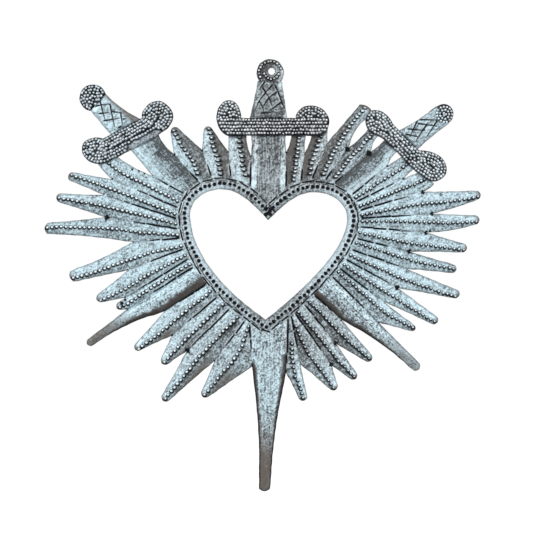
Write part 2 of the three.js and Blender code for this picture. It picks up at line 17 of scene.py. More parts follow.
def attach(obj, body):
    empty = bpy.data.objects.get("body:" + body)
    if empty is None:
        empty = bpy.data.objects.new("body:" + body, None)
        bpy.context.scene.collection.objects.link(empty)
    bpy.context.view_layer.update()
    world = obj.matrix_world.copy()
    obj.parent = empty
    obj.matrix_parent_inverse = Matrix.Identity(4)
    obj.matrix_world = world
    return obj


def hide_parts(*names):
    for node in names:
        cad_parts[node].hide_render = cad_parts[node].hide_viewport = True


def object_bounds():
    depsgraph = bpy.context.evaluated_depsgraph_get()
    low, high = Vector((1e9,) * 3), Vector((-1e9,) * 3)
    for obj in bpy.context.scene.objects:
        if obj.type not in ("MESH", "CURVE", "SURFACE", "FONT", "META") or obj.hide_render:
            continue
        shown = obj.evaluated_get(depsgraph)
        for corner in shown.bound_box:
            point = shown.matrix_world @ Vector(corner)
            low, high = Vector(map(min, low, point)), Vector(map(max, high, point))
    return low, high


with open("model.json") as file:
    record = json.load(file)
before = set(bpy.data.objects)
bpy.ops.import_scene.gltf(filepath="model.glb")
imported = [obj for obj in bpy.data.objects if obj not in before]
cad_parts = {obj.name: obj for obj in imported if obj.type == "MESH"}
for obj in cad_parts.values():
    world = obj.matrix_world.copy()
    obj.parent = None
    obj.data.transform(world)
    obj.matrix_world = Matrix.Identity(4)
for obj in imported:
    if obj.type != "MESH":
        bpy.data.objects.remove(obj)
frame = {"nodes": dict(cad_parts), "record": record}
cad_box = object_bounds()

MM = 0.001
rng = np.random.default_rng(11)

# Sheet
SHEET = 1.0
SEAM_COVER = 0.21  # how far a piece reaches past its node's outline, so that the chiselled seams close
FRONT_NORMAL = -0.05  # a triangle of the node whose normal has a smaller y is part of its front
CORNER = math.radians(50)  # a sharper turn of an outline stays a corner
CONTACT = 0.3  # outlines closer than this meet
SAME_EDGE = 0.05  # a segment whose middle is this near a stretch is part of it
EDGE_WANDER = 0.12  # how far a hand-cut edge strays
EDGE_SWELL = 5.5  # over what length it does

# Points of the meshes
EDGE_STEP = 0.6  # along an outline
EDGE_INSET = 0.35  # from an outline to the row of points beside it
FIELD_STEP = 1.25  # over the open surface
FIELD_ROW = 0.87  # from row to row, in steps
FIELD_WANDER = (0.12, 3)  # how far a point strays, and over what length
CLEAR_OF_EDGE = 0.75  # nearest point of the open surface
CLEAR_OF_STROKE = 0.9
CLEAR_OF_BEAD = 0.3  # beyond its last ring, in radii of the bead
FINE_CLEARANCE = 0.16  # from an outline to a point of a bead, stroke or over-cut
WELD = 0.17  # points nearer than this are one point
BEAD_RINGS = ((0.42, 6), (0.75, 10), (1.02, 12), (1.3, 14), (1.6, 14))  # radii, and points on each
STROKE_STEP = 0.55
STROKE_OVERRUN = 0.02  # past either end of a stroke, in its lengths
STROKE_ROWS = (-0.75, -0.36, 0, 0.36, 0.75)
BURR_STEP = 0.42
BURR_REACH = 4  # steps from the middle of an over-cut, either way,
BURR_CORNER = 6  # and fewer than this counted both ways together
BURR_NEAR = 2  # an over-cut this near a piece's outline marks the piece

# Embossing: heights and slopes, and the borders over which relief rises or dies away
RAY_RIDGE = 1.9
RAY_SLOPE = 0.62
BLADE_RISE = 1.5
BLADE_SLOPE = 0.324
POINT_RIDGE = 2.6
POINT_FULL = 5  # half width from which a sword point has its full ridge
RIM_FADE = 3.2  # rays, blades and points die away this near the rim
GUARD_FADE = 1.8  # and this near a guard
GUARD_RISE = 1.6
GUARD_BORDER = 2.4
GRIP_RISE = 1.7
GRIP_FADE = 1.5
POMMEL_RISE = 1.4
POMMEL_BORDER = 4
RIM_CROWN = 0.25
RIM_BORDER = 2.5
HAMMER_DEPTH = 0.09
HAMMER_SWELLS = (9, 3.5)
WORN_EDGE = (0.16, 0.3)  # how far a cut edge is rounded off, and over what reach

# Punch marks: radius, height and pitch
RAY_BEADS = {
    "left": (1.02, 0.8, 2.8),
    "top_left": (0.8, 0.62, 2.7),
    "top_right": (0.74, 0.6, 2.44),
    "right": (0.94, 0.7, 2.85),
    "bottom_right": (0.82, 0.66, 2.7),
    "bottom_left": (1.08, 0.84, 3.03),
}
OWN_PITCHES = {
    "top_right_ray_2": 2.82,
    "right_ray_1": 2.5,
    "right_ray_2": 2.36,
    "right_ray_7": 2.6,
    "right_ray_8": 2.64,
}
GUARD_BEAD = (0.84, 0.62, 1.95)
RIM_DOT = (1.02, -0.6, 3.02)
BEAD_DITCH = (0.09, 1.2, 0.3)  # round a bead: its depth, and its radius and width in radii of the bead
BEAD_FORM = 0.75  # 0.5 would make a bead a half ball

# How far a mark strays from its place, and how much its size varies
BY_HAND = {"ray": (0.12, 0.1), "guard": (0.14, 0.18), "pommel": (0.12, 0.18), "rim": (0.14, 0.12)}
BEAD_HIGHLIGHTS = (0.45, 1.05)  # least and greatest strength of a bead's painted highlight

# Places of the beads and dots
RAY_START = 1.8  # from the rim
RAY_STARTS = {"bottom_right_ray_4": 17, "bottom_right_ray_3": 8}  # rows that start away from the rim
RAY_ENDS = {"guard": 1.2, "tip": 1.7}  # from what the ray ends at
GUARD_MARGIN = 1.15  # from the edge of a guard or pommel to its first row of beads
PLAIN_STRIP = 3.2  # the left guard has no beads this near its blade
BAR_STEP = 1.85  # pitch along the straight rows of a bar
BAR_STRETCH = 1.15  # beads in those rows are this much longer than they are high
BAR_REACH = 40  # to either side, past the end of the longest guard
BAR_EDGE = 0.85  # least distance from the edge, in margins
ROW_PITCH = 0.93  # rows that follow an outline, in pitches: from row to row,
ROW_CLEARANCE = 0.86  # from the beads already laid,
ROW_STEP = 0.96  # and along a row
ROW_GRID = 0.22  # step of the grid on which their places are sought
ROW_BAND = 0.17
ROW_EDGE = 0.7  # no bead stands nearer to an edge
POMMEL_RING = (1.5, 20, 235)  # round the top pommel: in from the edge, first and last angle
HOLE_RING = (4.7, 200, 335)  # below the nail hole: radius, first and last angle
POMMEL_EDGE = 0.8  # no bead of the top pommel stands nearer to an edge,
POMMEL_CLEARANCE = 0.8  # or nearer to the other row, in pitches
POMMEL_DISC = ((103.6, -25.9), 5.7)  # centre and radius of the right pommel
DISC_RINGS = (1.1, 1.9)  # from its edge to the first ring of beads, and from ring to ring
DISC_SEAM = 1.3  # a bead this near the seam shows on both sides of it
DOT_LINE = 3.55  # from the edge of the heart opening

# Chisel strokes
STROKE_DEPTH = 0.4
STROKE_LENGTHS = (0.75, 1.25)  # shares of the usual length
STROKE_GAPS = (0.6, 1.5)  # shares of the usual gap
SHORTEST_STROKE = 1.5
CUT_STROKE = (8.5, 1.4)  # length and gap along the cuts between rays
CUT_START = 1.8  # from the rim
CUT_SHARES = (0.6, 0.9)  # how much of a cut is chiselled
CUT_WIDTHS = (0.58, 0.28)  # half the width beside the rim and at the outer end
CUT_STAGGER = 0.2
TOP_CUTS = (-68, 68)  # above this height, and this near the middle, the strokes between rays are short
TOP_STROKE = (4.5, 8)
RIM_STROKE = (5.6, 1.8)
RIM_LINE = (6.6, 0.4, 0.95)  # from the edge of the opening, half the width, share of the strokes made
INNER_RIM_LINE = (5.5, 0.28, 0.45)
RIM_STAGGER = 0.35

# Over-cuts at the notches, torn bits and nicks
NOTCH_BURR = (0.5, 1.0)  # least and greatest half width of the usual over-cut
PLAIN_BURRS = {  # half width of the plainest ones, by the tongue on the clockwise side of the notch
    "bottom_left_ray_3": 2.2,
    "bottom_right_ray_3": 1.8,
    "bottom_right_ray_2": 1.8,
    "right_ray_8": 2.0,
    "right_ray_6": 1.8,
    "right_ray_5": 1.7,
    "right_ray_4": 1.7,
    "right_ray_3": 1.7,
    "right_blade": 2.4,
    "top_right_ray_4": 2.1,
    "left_ray_5": 2.1,
}
BURR_SETBACK = 0.6  # from the notch towards the rim, in half widths
BURR_BLUR = 0.4
BURR_DEPTH = 0.25
CRUMB_AIM = (0.8, 0.6)
CRUMBS = (  # torn bits along the edges: centre and half width
    (-89.7, -138.9, 1.5),
    (-87.6, -137.0, 1.1),
    (-88.8, -141.0, 1.1),
    (95.0, -95.8, 1.0),
    (100.0, -96.2, 0.9),
    (-8.1, -47.1, 1.2),
    (-8.8, -49.0, 0.9),
    (-83.5, -58.8, 1.0),
    (-79.5, -59.5, 1.1),
    (-76.0, -61.0, 1.0),
)
NICKS = (3, 0.6)  # to a piece, and the reach of each

# Feet of the crests that do not start halfway between their neighbours
CREST_FEET = {
    "top_left_ray_1": (-43.2, -62.7),
    "top_left_ray_3": (-15.9, -63.9),
    "top_right_ray_1": (12.3, -66.9),
    "top_right_ray_2": (22.7, -63.1),
    "top_right_ray_3": (30.8, -63.4),
    "top_right_ray_4": (37.1, -64.4),
}

# A crest runs down the middle of its ray, found at these shares of its length, in bands of this half width
CREST_SHARES = (0.3, 0.5, 0.7, 0.85)
CREST_BAND = 0.8
TIP_DEPTH = 0.7  # the outline this near the far end is the tip

# How far each row of beads lies to the left of the middle of its ray, looking outwards, at four places
SHIFT_SHARES = (0.12, 0.35, 0.6, 0.85)
CREST_SHIFTS = {
    "top_left_ray_1": (0.4, 0.6, 0.4, 0.6),
    "top_left_ray_2": (0.0, 0.0, -0.8, -1.0),
    "top_left_ray_3": (-1.0, -1.4, -1.2, -1.0),
    "top_right_ray_1": (-0.6, -0.6, -0.8, -0.4),
    "top_right_ray_2": (-0.2, -0.4, -0.2, 0.0),
    "top_right_ray_3": (0.4, 0.2, 0.2, 0.8),
    "top_right_ray_4": (-0.2, 0.4, 0.8, 0.8),
    "right_ray_1": (-0.2, 0.0, 0.0, -0.2),
    "right_ray_2": (-0.4, 0.0, 0.0, -0.2),
    "right_ray_3": (-0.4, -0.2, -0.4, -1.0),
    "right_ray_4": (1.0, 1.2, 0.4, -0.6),
    "right_ray_5": (-0.2, -0.8, -1.2, -1.2),
    "right_ray_6": (1.4, 1.0, 0.2, 0.2),
    "right_ray_7": (0.0, 0.2, -0.4, -1.4),
    "right_ray_8": (-0.2, 0.2, -0.2, -0.8),
    "right_ray_9": (1.2, 1.4, 1.2, 0.6),
    "bottom_right_ray_1": (-0.8, 0.0, 0.0, 0.0),
    "bottom_right_ray_2": (-1.8, -1.0, -0.2, 0.2),
    "bottom_right_ray_3": (-1.6, -1.0, -0.2, -0.4),
    "bottom_right_ray_4": (0.6, 0.0, -0.4, 0.4),
    "bottom_left_ray_1": (1.6, 0.2, -0.6, -0.2),
    "bottom_left_ray_2": (0.4, -0.2, 0.2, 0.4),
    "bottom_left_ray_3": (0.0, 0.6, 1.0, 0.6),
    "bottom_left_ray_4": (-0.4, 0.6, 1.2, 1.2),
    "left_ray_1": (0.2, -0.2, 0.0, 0.4),
    "left_ray_2": (0.4, 1.2, 1.4, 1.4),
    "left_ray_3": (0.8, 1.2, 1.2, 1.6),
    "left_ray_4": (0.2, -0.2, 0.0, -0.8),
    "left_ray_5": (-0.2, -0.4, -0.2, 0.0),
    "left_ray_6": (0.2, 0.4, 0.0, -0.8),
    "left_ray_7": (0.6, 0.8, 0.2, 0.0),
}

SWORDS = ("centre", "left", "right")
BRUSHES_GUARD = {"top_right_ray_3"}  # it touches a guard without ending there


# Plan geometry


def front_loops(node):
    """Outlines of a CAD node's front, anticlockwise round the steel, the widest one first."""
    mesh = frame["nodes"][node].data
    mesh.calc_loop_triangles()
    corners = {}
    edges = set()
    for triangle in mesh.loop_triangles:
        if triangle.normal.y > FRONT_NORMAL:
            continue
        keys = []
        for index in triangle.vertices:
            x, _, z = mesh.vertices[index].co
            keys.append((round(x / MM, 2), round(z / MM, 2)))
            corners[keys[-1]] = (x / MM, z / MM)
        edges.update(zip(keys, keys[1:] + keys[:1]))
    following = {a: b for a, b in edges if (b, a) not in edges and a != b}
    loops = []
    while following:
        start = next(iter(sorted(following)))
        loop = [start]
        while loop[-1] in following:
            loop.append(following.pop(loop[-1]))
        loops.append(np.array([corners[key] for key in loop[:-1]]))
    return sorted(loops, key=width, reverse=True)


def width(loop):
    return np.ptp(loop[:, 0])


def lengths(vectors):
    return np.linalg.norm(vectors, axis=-1)


def unit(vectors):
    return vectors / np.maximum(np.linalg.norm(vectors, axis=-1, keepdims=True), 1e-9)


def grown(loop, gap):
    """The loop moved away from the steel."""
    before = unit(loop - np.roll(loop, 1, 0))
    after = unit(np.roll(loop, -1, 0) - loop)
    along = unit(before + after)
    spread = gap / np.maximum(np.einsum("ij,ij->i", along, after), 0.5)
    return loop + np.column_stack((along[:, 1], -along[:, 0])) * spread[:, None]


def rounded(loop, step):
    """The loop with smooth stretches between its corners, and points at an even spacing."""
    before = unit(loop - np.roll(loop, 1, 0))
    after = unit(np.roll(loop, -1, 0) - loop)
    turn = np.arccos(np.clip(np.einsum("ij,ij->i", before, after), -1, 1))
    tangent = unit(np.roll(loop, -1, 0) - np.roll(loop, 1, 0))
    points = []
    for i, start in enumerate(loop):
        j = (i + 1) % len(loop)
        span = loop[j] - start
        length = lengths(span)
        leave = span if turn[i] > CORNER else tangent[i] * length
        arrive = span if turn[j] > CORNER else tangent[j] * length
        steps = max(1, round(length / step))
        for k in range(steps):
            t = k / steps
            points.append(
                (2 * t**3 - 3 * t**2 + 1) * start
                + (t**3 - 2 * t**2 + t) * leave
                + (3 * t**2 - 2 * t**3) * loop[j]
                + (t**3 - t**2) * arrive
            )
    return np.array(points)


def waves(points, length, seed, count=9):
    """A smooth uneven field, mostly between -1 and 1, whose swells are about a length across."""
    draw = np.random.default_rng(seed)
    angles = draw.uniform(0, 2 * math.pi, count)
    sizes = length * draw.uniform(0.7, 1.5, count)
    phases = draw.uniform(0, 2 * math.pi, count)
    total = np.zeros(len(points))
    for angle, size, phase in zip(angles, sizes, phases):
        run = points[:, 0] * math.cos(angle) + points[:, 1] * math.sin(angle)
        total += np.sin(2 * math.pi * run / size + phase)
    return total / math.sqrt(count * 2)


def strayed(loop):
    """The loop with the small unevenness of a hand-cut edge."""
    shift = np.column_stack((waves(loop, EDGE_SWELL, seed=3), waves(loop, EDGE_SWELL, seed=4)))
    return loop + EDGE_WANDER * shift


def closed(loop):
    return np.column_stack((loop, np.roll(loop, -1, 0)))


def chain(points):
    """Segments of an open line."""
    points = np.asarray(points, float)
    return np.column_stack((points[:-1], points[1:]))


def distance(points, segments):
    """Distance of each point from the nearest segment."""
    if len(segments) == 0:
        return np.full(len(points), 1e3)
    a, b = segments[None, :, :2], segments[None, :, 2:]
    ab = b - a
    ap = points[:, None, :] - a
    share = np.einsum("ijk,ijk->ij", ap, np.broadcast_to(ab, ap.shape)) / np.maximum((ab**2).sum(-1), 1e-12)
    gap = ap - ab * np.clip(share, 0, 1)[..., None]
    return np.sqrt((gap**2).sum(-1).min(1))


def inside(points, loops):
    """True where a point lies in the steel between the loops."""
    crossings = np.zeros(len(points), int)
    for loop in loops:
        a, b = loop, np.roll(loop, -1, 0)
        above = (a[None, :, 1] > points[:, None, 1]) != (b[None, :, 1] > points[:, None, 1])
        rise = np.where(b[:, 1] == a[:, 1], 1e-12, b[:, 1] - a[:, 1])
        where = a[:, 0] + (points[:, None, 1] - a[:, 1]) * (b[:, 0] - a[:, 0]) / rise
        crossings += (above & (points[:, None, 0] < where)).sum(1)
    return crossings % 2 == 1


def smooth(values):
    t = np.clip(values, 0, 1)
    return t * t * (3 - 2 * t)


def rising(values, start, run):
    """0 up to the start and 1 once past the run."""
    return smooth((values - start) / run)


def falling(values, end, run):
    """0 past the end and 1 before the run that leads up to it."""
    return smooth((end - values) / run)


def fading(gap, reach):
    """1 at no gap, dying away over about the reach."""
    return np.exp(-((gap / reach) ** 2))


def run_of(line):
    """How far along an open line each of its points lies."""
    return np.concatenate(([0], np.cumsum(lengths(np.diff(line, axis=0)))))


def evenly(line, pitch, start=0.0, end=0.0):
    """Points at a pitch along an open line, clear of its two ends."""
    line = np.asarray(line, float)
    marks = run_of(line)
    count = max(2, round((marks[-1] - start - end) / pitch) + 1)
    spots = np.linspace(start, marks[-1] - end, count)
    return np.column_stack([np.interp(spots, marks, line[:, k]) for k in (0, 1)])


def sword_of(node):
    return node.split("_")[0]


def group_of(ray):
    return ray.split("_ray_")[0]


NODES = [row["node"] for row in frame["record"]["subparts"]]
LOOPS = {}
for node in NODES:
    LOOPS[node] = [strayed(rounded(grown(loop, SEAM_COVER), EDGE_STEP)) for loop in front_loops(node)]
EDGES = {node: np.concatenate([closed(loop) for loop in loops]) for node, loops in LOOPS.items()}
OPENING = LOOPS["heart_rim"][1]
HEART_CENTRE = OPENING.mean(0)
GUARDS = [f"{sword}_guard" for sword in SWORDS]
GUARD_EDGES = np.concatenate([EDGES[guard] for guard in GUARDS])

# Tongues are what stands out from the rim: rays, blades and sword points
TONGUES = [node for node in NODES if "_ray_" in node or node.endswith(("_blade", "_point"))]


def meeting(node, other_edges):
    """The stretch of a node's outline that touches other edges, as the segments between its points."""
    loop = LOOPS[node][0]
    touching = distance(loop, other_edges) < CONTACT
    both = touching & np.roll(touching, -1)
    return closed(loop)[both]


def apart(node, *stretches):
    """The segments of a node's outline that are in none of the stretches."""
    segments = EDGES[node]
    middles = (segments[:, :2] + segments[:, 2:]) / 2
    keep = np.ones(len(segments), bool)
    for stretch in stretches:
        keep &= distance(middles, stretch) > SAME_EDGE
    return segments[keep]


def free_edges(node):
    """The segments of a node's outlines that no neighbour touches."""
    low, high = LOOPS[node][0].min(0) - 1, LOOPS[node][0].max(0) + 1
    others = np.concatenate([EDGES[other] for other in NODES if other != node])
    near = ((others[:, :2] > low) & (others[:, :2] < high)).all(1)
    stretches = []
    for loop in LOOPS[node]:
        free = distance(loop, others[near]) > CONTACT
        stretches.append(closed(loop)[free | np.roll(free, -1)])
    return np.concatenate(stretches)


def middle_of(stretch):
    """The point halfway along a stretch of segments."""
    if len(stretch) > 2:
        gaps = lengths(stretch[1:, :2] - stretch[:-1, 2:])
        if gaps.max() > 1:
            cut = int(gaps.argmax()) + 1
            stretch = np.concatenate((stretch[cut:], stretch[:cut]))
    spans = lengths(stretch[:, 2:] - stretch[:, :2])
    half = np.searchsorted(np.cumsum(spans), spans.sum() / 2)
    return stretch[min(half, len(stretch) - 1), :2]


def crest_of(node):
    """The line along which a tongue stands highest, from the rim outwards."""
    loop = LOOPS[node][0]
    root = np.array(CREST_FEET.get(node, middle_of(meeting(node, EDGES["heart_rim"]))))
    if node in ENDS_ON_GUARD:
        tip = middle_of(meeting(node, GUARD_EDGES))
    else:
        axis = unit(loop[lengths(loop - root).argmax()] - root)
        run = (loop - root) @ axis
        tip = loop[run > run.max() - TIP_DEPTH].mean(0)
    axis = unit(tip - root)
    side = np.array((-axis[1], axis[0]))
    length = (tip - root) @ axis
    run = (loop - root) @ axis
    offset = (loop - root) @ side
    crest = [root]
    for share in CREST_SHARES:
        level = np.abs(run - share * length) < CREST_BAND
        left = offset[level & (offset > 0)]
        right = offset[level & (offset <= 0)]
        centred = 0 if len(left) == 0 or len(right) == 0 else (left.min() + right.max()) / 2
        crest.append(root + axis * share * length + side * centred)
    crest = np.array([*crest, tip])
    shift = np.interp((crest - root) @ axis / length, SHIFT_SHARES, CREST_SHIFTS.get(node, (0, 0, 0, 0)))
    return crest + side * shift[:, None]


ENDS_ON_GUARD = {node for node in TONGUES if len(meeting(node, GUARD_EDGES))} - BRUSHES_GUARD
FEET = {node: middle_of(meeting(node, EDGES["heart_rim"])) for node in TONGUES}
AROUND = sorted(TONGUES, key=lambda node: math.atan2(*(FEET[node] - HEART_CENTRE)[::-1]))
CRESTS = {node: crest_of(node) for node in TONGUES}
FREE_EDGES = {node: free_edges(node) for node in NODES}
SIDES = {}
for node in TONGUES:
    SIDES[node] = apart(node, meeting(node, EDGES["heart_rim"]), meeting(node, GUARD_EDGES))


# Chisel strokes, shared by the pieces on both sides of a line


def strokes_along(line, first, last, form, widths, stagger):
    """Strokes laid end to end along a line, as rows of start, end and half the width at each."""
    line = np.asarray(line, float)
    length, gap = form
    marks = run_of(line)
    strokes = []
    at = first
    while at < last - SHORTEST_STROKE:
        end = min(at + length * rng.uniform(*STROKE_LENGTHS), last)
        ends = np.column_stack([np.interp([at, end], marks, line[:, k]) for k in (0, 1)])
        side = unit(np.array((ends[0, 1] - ends[1, 1], ends[1, 0] - ends[0, 0])))
        ends = ends + side * rng.uniform(-stagger, stagger, (2, 1))
        shares = (np.array((at, end)) - first) / (last - first)
        strokes.append([*ends.ravel(), *np.interp(shares, (0, 1), widths)])
        at = end + gap * rng.uniform(*STROKE_GAPS)
    return strokes


def cut_lines():
    """The cut on the anticlockwise side of each tongue, from its foot on the rim to its notch."""
    lines = {}
    for node, neighbour in zip(AROUND, AROUND[1:] + AROUND[:1]):
        shared = meeting(node, EDGES[neighbour])
        if len(shared) == 0:
            continue
        points = np.concatenate((shared[:, :2], shared[:, 2:]))
        out = lengths(points - HEART_CENTRE)
        lines[node] = (points[out.argmin()], points[out.argmax()])
    return lines


CUTS = cut_lines()


def round_opening(offset):
    """The line on the rim at a distance from the edge of the heart opening, back to where it starts."""
    line = grown(OPENING, -offset)
    return np.concatenate((line, line[:1]))


def all_strokes():
    """The strokes along every cut and round the rim."""
    strokes = []
    low, half_width = TOP_CUTS
    for foot, notch in CUTS.values():
        last = lengths(notch - foot) * rng.uniform(*CUT_SHARES)
        if foot[1] > low and abs(foot[0]) < half_width:
            last = CUT_START + rng.uniform(*TOP_STROKE)
        strokes += strokes_along([foot, notch], CUT_START, last, CUT_STROKE, CUT_WIDTHS, CUT_STAGGER)
    for offset, half_width, made in (RIM_LINE, INNER_RIM_LINE):
        line = round_opening(offset)
        total = lengths(np.diff(line, axis=0)).sum()
        laid = strokes_along(line, 0, total, RIM_STROKE, (half_width, half_width), RIM_STAGGER)
        strokes += [stroke for stroke in laid if rng.uniform() < made]
    return np.array(strokes)


STROKES = all_strokes()


def pressed(points, strokes):
    """How far the chisel has pressed in at each point, from 0 to 1."""
    if len(strokes) == 0:
        return np.zeros(len(points))
    start, end = strokes[None, :, :2], strokes[None, :, 2:4]
    along = end - start
    away = points[:, None] - start
    share = np.clip((away * along).sum(-1) / (along**2).sum(-1), 0, 1)
    gap = lengths(away - along * share[..., None])
    half_width = strokes[:, 4] + share * (strokes[:, 5] - strokes[:, 4])
    return fading(gap, half_width).max(1)


def cut_burrs():
    """Over-cuts where the notches end, and crumbs: rows of centre, direction of the cut and half width."""
    rows = []
    for node, (foot, notch) in CUTS.items():
        aim = unit(notch - foot)
        size = PLAIN_BURRS.get(node, rng.uniform(*NOTCH_BURR))
        rows.append([*(notch - aim * BURR_SETBACK * size), *aim, size])
    return np.array(rows + [[x, z, *CRUMB_AIM, size] for x, z, size in CRUMBS])


BURRS = cut_burrs()


def burred(points):
    """1 inside the dark diamond of an over-cut, 0 clear of it."""
    away = points[:, None] - BURRS[None, :, :2]
    along = np.abs(away[..., 0] * BURRS[:, 2] + away[..., 1] * BURRS[:, 3])
    across = np.abs(away[..., 1] * BURRS[:, 2] - away[..., 0] * BURRS[:, 3])
    return smooth((BURRS[:, 4] - along - across) / BURR_BLUR + 0.5).max(1)


# Lattice engraved on the grips, as lines of points
LATTICE = {
    "centre": (
        ((-4.1, -6.4), (-6.9, -10.7)),
        ((0.2, -8.8), (-3.2, -12.4), (-7.3, -17.8), (-9.2, -21.8)),
        ((-5.2, -10.1), (-1.6, -15.8), (0.4, -21.1)),
        ((2.8, -12.8), (-1.6, -16.1), (-4.6, -20.5)),
        ((2.1, -8.8), (4.1, -12.8), (6.1, -18.8), (7.4, -21.4)),
        ((5.5, -18.8), (-0.9, -23.5)),
        ((-7.3, -17.8), (-4.6, -23.5)),
        ((-5.9, -25.1), (0.1, -24.6)),
    ),
    "left": (
        ((-102.7, -17.7), (-99.8, -28.6)),
        ((-96.7, -20.0), (-94.1, -32.9)),
        ((-90.4, -24.9), (-89.2, -32.0)),
        ((-105.2, -20.9), (-96.7, -19.6)),
        ((-102.7, -25.4), (-97.8, -24.9)),
        ((-95.0, -24.3), (-90.7, -25.0)),
        ((-100.1, -29.7), (-91.5, -28.3)),
        ((-88.7, -28.6), (-87.2, -28.7)),
        ((-91.3, -33.7), (-89.5, -32.6)),
    ),
    "right": (
        ((87.6, -29.1), (82.9, -39.1)),
        ((93.1, -31.6), (86.3, -42.1)),
        ((98.9, -30.1), (93.1, -39.1)),
        ((87.8, -31.4), (98.9, -33.1)),
        ((82.1, -34.6), (91.6, -35.6)),
        ((89.1, -29.1), (99.1, -29.3)),
        ((80.9, -37.9), (87.1, -39.1)),
    ),
}
LATTICE_WIDTHS = (0.38, 0.3)
LIP_SHIFT = (-0.75, 0.3)  # from an engraved line to the painted highlight on the lip beside it


def grip_axis(sword):
    """Where a grip starts on its guard and ends at its pommel."""
    node = f"{sword}_grip"
    base = meeting(node, EDGES[f"{sword}_guard"])
    end = meeting(node, EDGES[f"{sword}_pommel"])
    return middle_of(base), middle_of(end)


def lattice_strokes(sword):
    lines = [chain(line) for line in LATTICE[sword]]
    segments = np.concatenate(lines)
    return np.column_stack((segments, np.tile(LATTICE_WIDTHS, (len(segments), 1))))


# Beads


def bar_axes(sword):
    """A corner of a guard beside its grip, unit vectors along its bar and down across it, and its depth."""
    guard = f"{sword}_guard"
    ends = meeting(guard, EDGES[f"{sword}_grip"])[:, :2]
    foot = middle_of(meeting(guard, EDGES[f"{sword}_blade"]))
    far = ends[lengths(ends - ends[0]).argmax()]
    along = unit(far - ends[0])
    across = np.array((along[1], -along[0]))
    across = across * np.sign((foot - ends[0]) @ across)
    return ends[0], along, across, (foot - ends[0]) @ across


def bar_rows(node, pitch):
    """Beads in straight rows along the bar of a guard and on through its lobes."""
    corner, along, across, thick = bar_axes(sword_of(node))
    count = round((thick - 2 * GUARD_MARGIN) / pitch) + 1
    rows = []
    for k, level in enumerate(np.linspace(GUARD_MARGIN, thick - GUARD_MARGIN, count)):
        run = np.arange(-BAR_REACH, BAR_REACH, BAR_STEP) + (k % 2) * BAR_STEP / 2
        rows.append(corner + along * run[:, None] + across * level)
    rows = np.concatenate(rows)
    rows = rows[inside(rows, LOOPS[node])]
    return rows[distance(rows, EDGES[node]) > GUARD_MARGIN * BAR_EDGE]


def bead_rows(node, pitch, laid):
    """Beads in rows that follow a node's outline inwards, clear of those already laid."""
    loops = LOOPS[node]
    low, high = loops[0].min(0), loops[0].max(0)
    xs = np.arange(low[0], high[0], ROW_GRID)
    zs = np.arange(low[1], high[1], ROW_GRID)
    grid = np.array([(x, z) for x in xs for z in zs])
    grid = grid[inside(grid, loops)]
    grid = grid[distance(grid, EDGES[node]) > ROW_EDGE]
    depth = distance(grid, FREE_EDGES[node] if node.endswith("_pommel") else EDGES[node])
    beads = list(laid)
    for level in np.arange(GUARD_MARGIN, depth.max() + ROW_BAND, pitch * ROW_PITCH):
        rows = grid[np.abs(depth - level) < ROW_BAND]
        for bead in beads:
            rows = rows[lengths(rows - bead) > pitch * ROW_CLEARANCE]
        last = rows[0] if len(rows) else None
        while len(rows):
            last = rows[lengths(rows - last).argmin()]
            beads.append(last)
            rows = rows[lengths(rows - last) > pitch * ROW_STEP]
    return np.array(beads)


def arc(centre, radius, first, last, pitch):
    """Points at a pitch along an arc, between two angles in degrees."""
    count = round(radius * math.radians(last - first) / pitch) + 1
    angles = np.radians(np.linspace(first, last, count))
    return centre + radius * np.column_stack((np.cos(angles), np.sin(angles)))


def pommel_rings():
    """Beads of the top pommel: round its edge, except at the right, and in a row below the nail hole."""
    outer, hole = LOOPS["centre_pommel"]
    radius = np.ptp(outer[:, 0]) / 2
    middle = np.array((outer[:, 0].mean(), outer[:, 1].max() - radius))
    inset, first, last = POMMEL_RING
    edge = arc(middle, radius - inset, first, last, GUARD_BEAD[2])
    reach, first, last = HOLE_RING
    below = arc(hole.mean(0), reach, first, last, GUARD_BEAD[2])
    rows = np.concatenate((edge, below[distance(below, chain(edge)) > GUARD_BEAD[2] * POMMEL_CLEARANCE]))
    rows = rows[inside(rows, [outer, hole])]
    return rows[distance(rows, EDGES["centre_pommel"]) > POMMEL_EDGE]


def disc_rings(node):
    """Beads of the right pommel, whose disc reaches over the end of its grip."""
    centre, radius = POMMEL_DISC
    margin, step = DISC_RINGS
    reaches = np.arange(radius - margin, 0, -step)
    rings = np.concatenate([arc(np.array(centre), reach, 0, 360, GUARD_BEAD[2])[:-1] for reach in reaches])
    return rings[inside(rings, LOOPS[node]) | (distance(rings, EDGES[node]) < DISC_SEAM)]


def sized(points, mark, spread):
    """Beads as rows (x, z, radius, height, strength of the painted highlight), each a little different."""
    radius, height, _ = mark
    scale = 1 + rng.uniform(-spread, spread, len(points))
    return np.column_stack((points, radius * scale, height * scale, rng.uniform(*BEAD_HIGHLIGHTS, len(points))))


def punched(points, mark, hand):
    """The same, each a little off its place."""
    stray, spread = BY_HAND[hand]
    return sized(points + rng.normal(0, stray, points.shape), mark, spread)


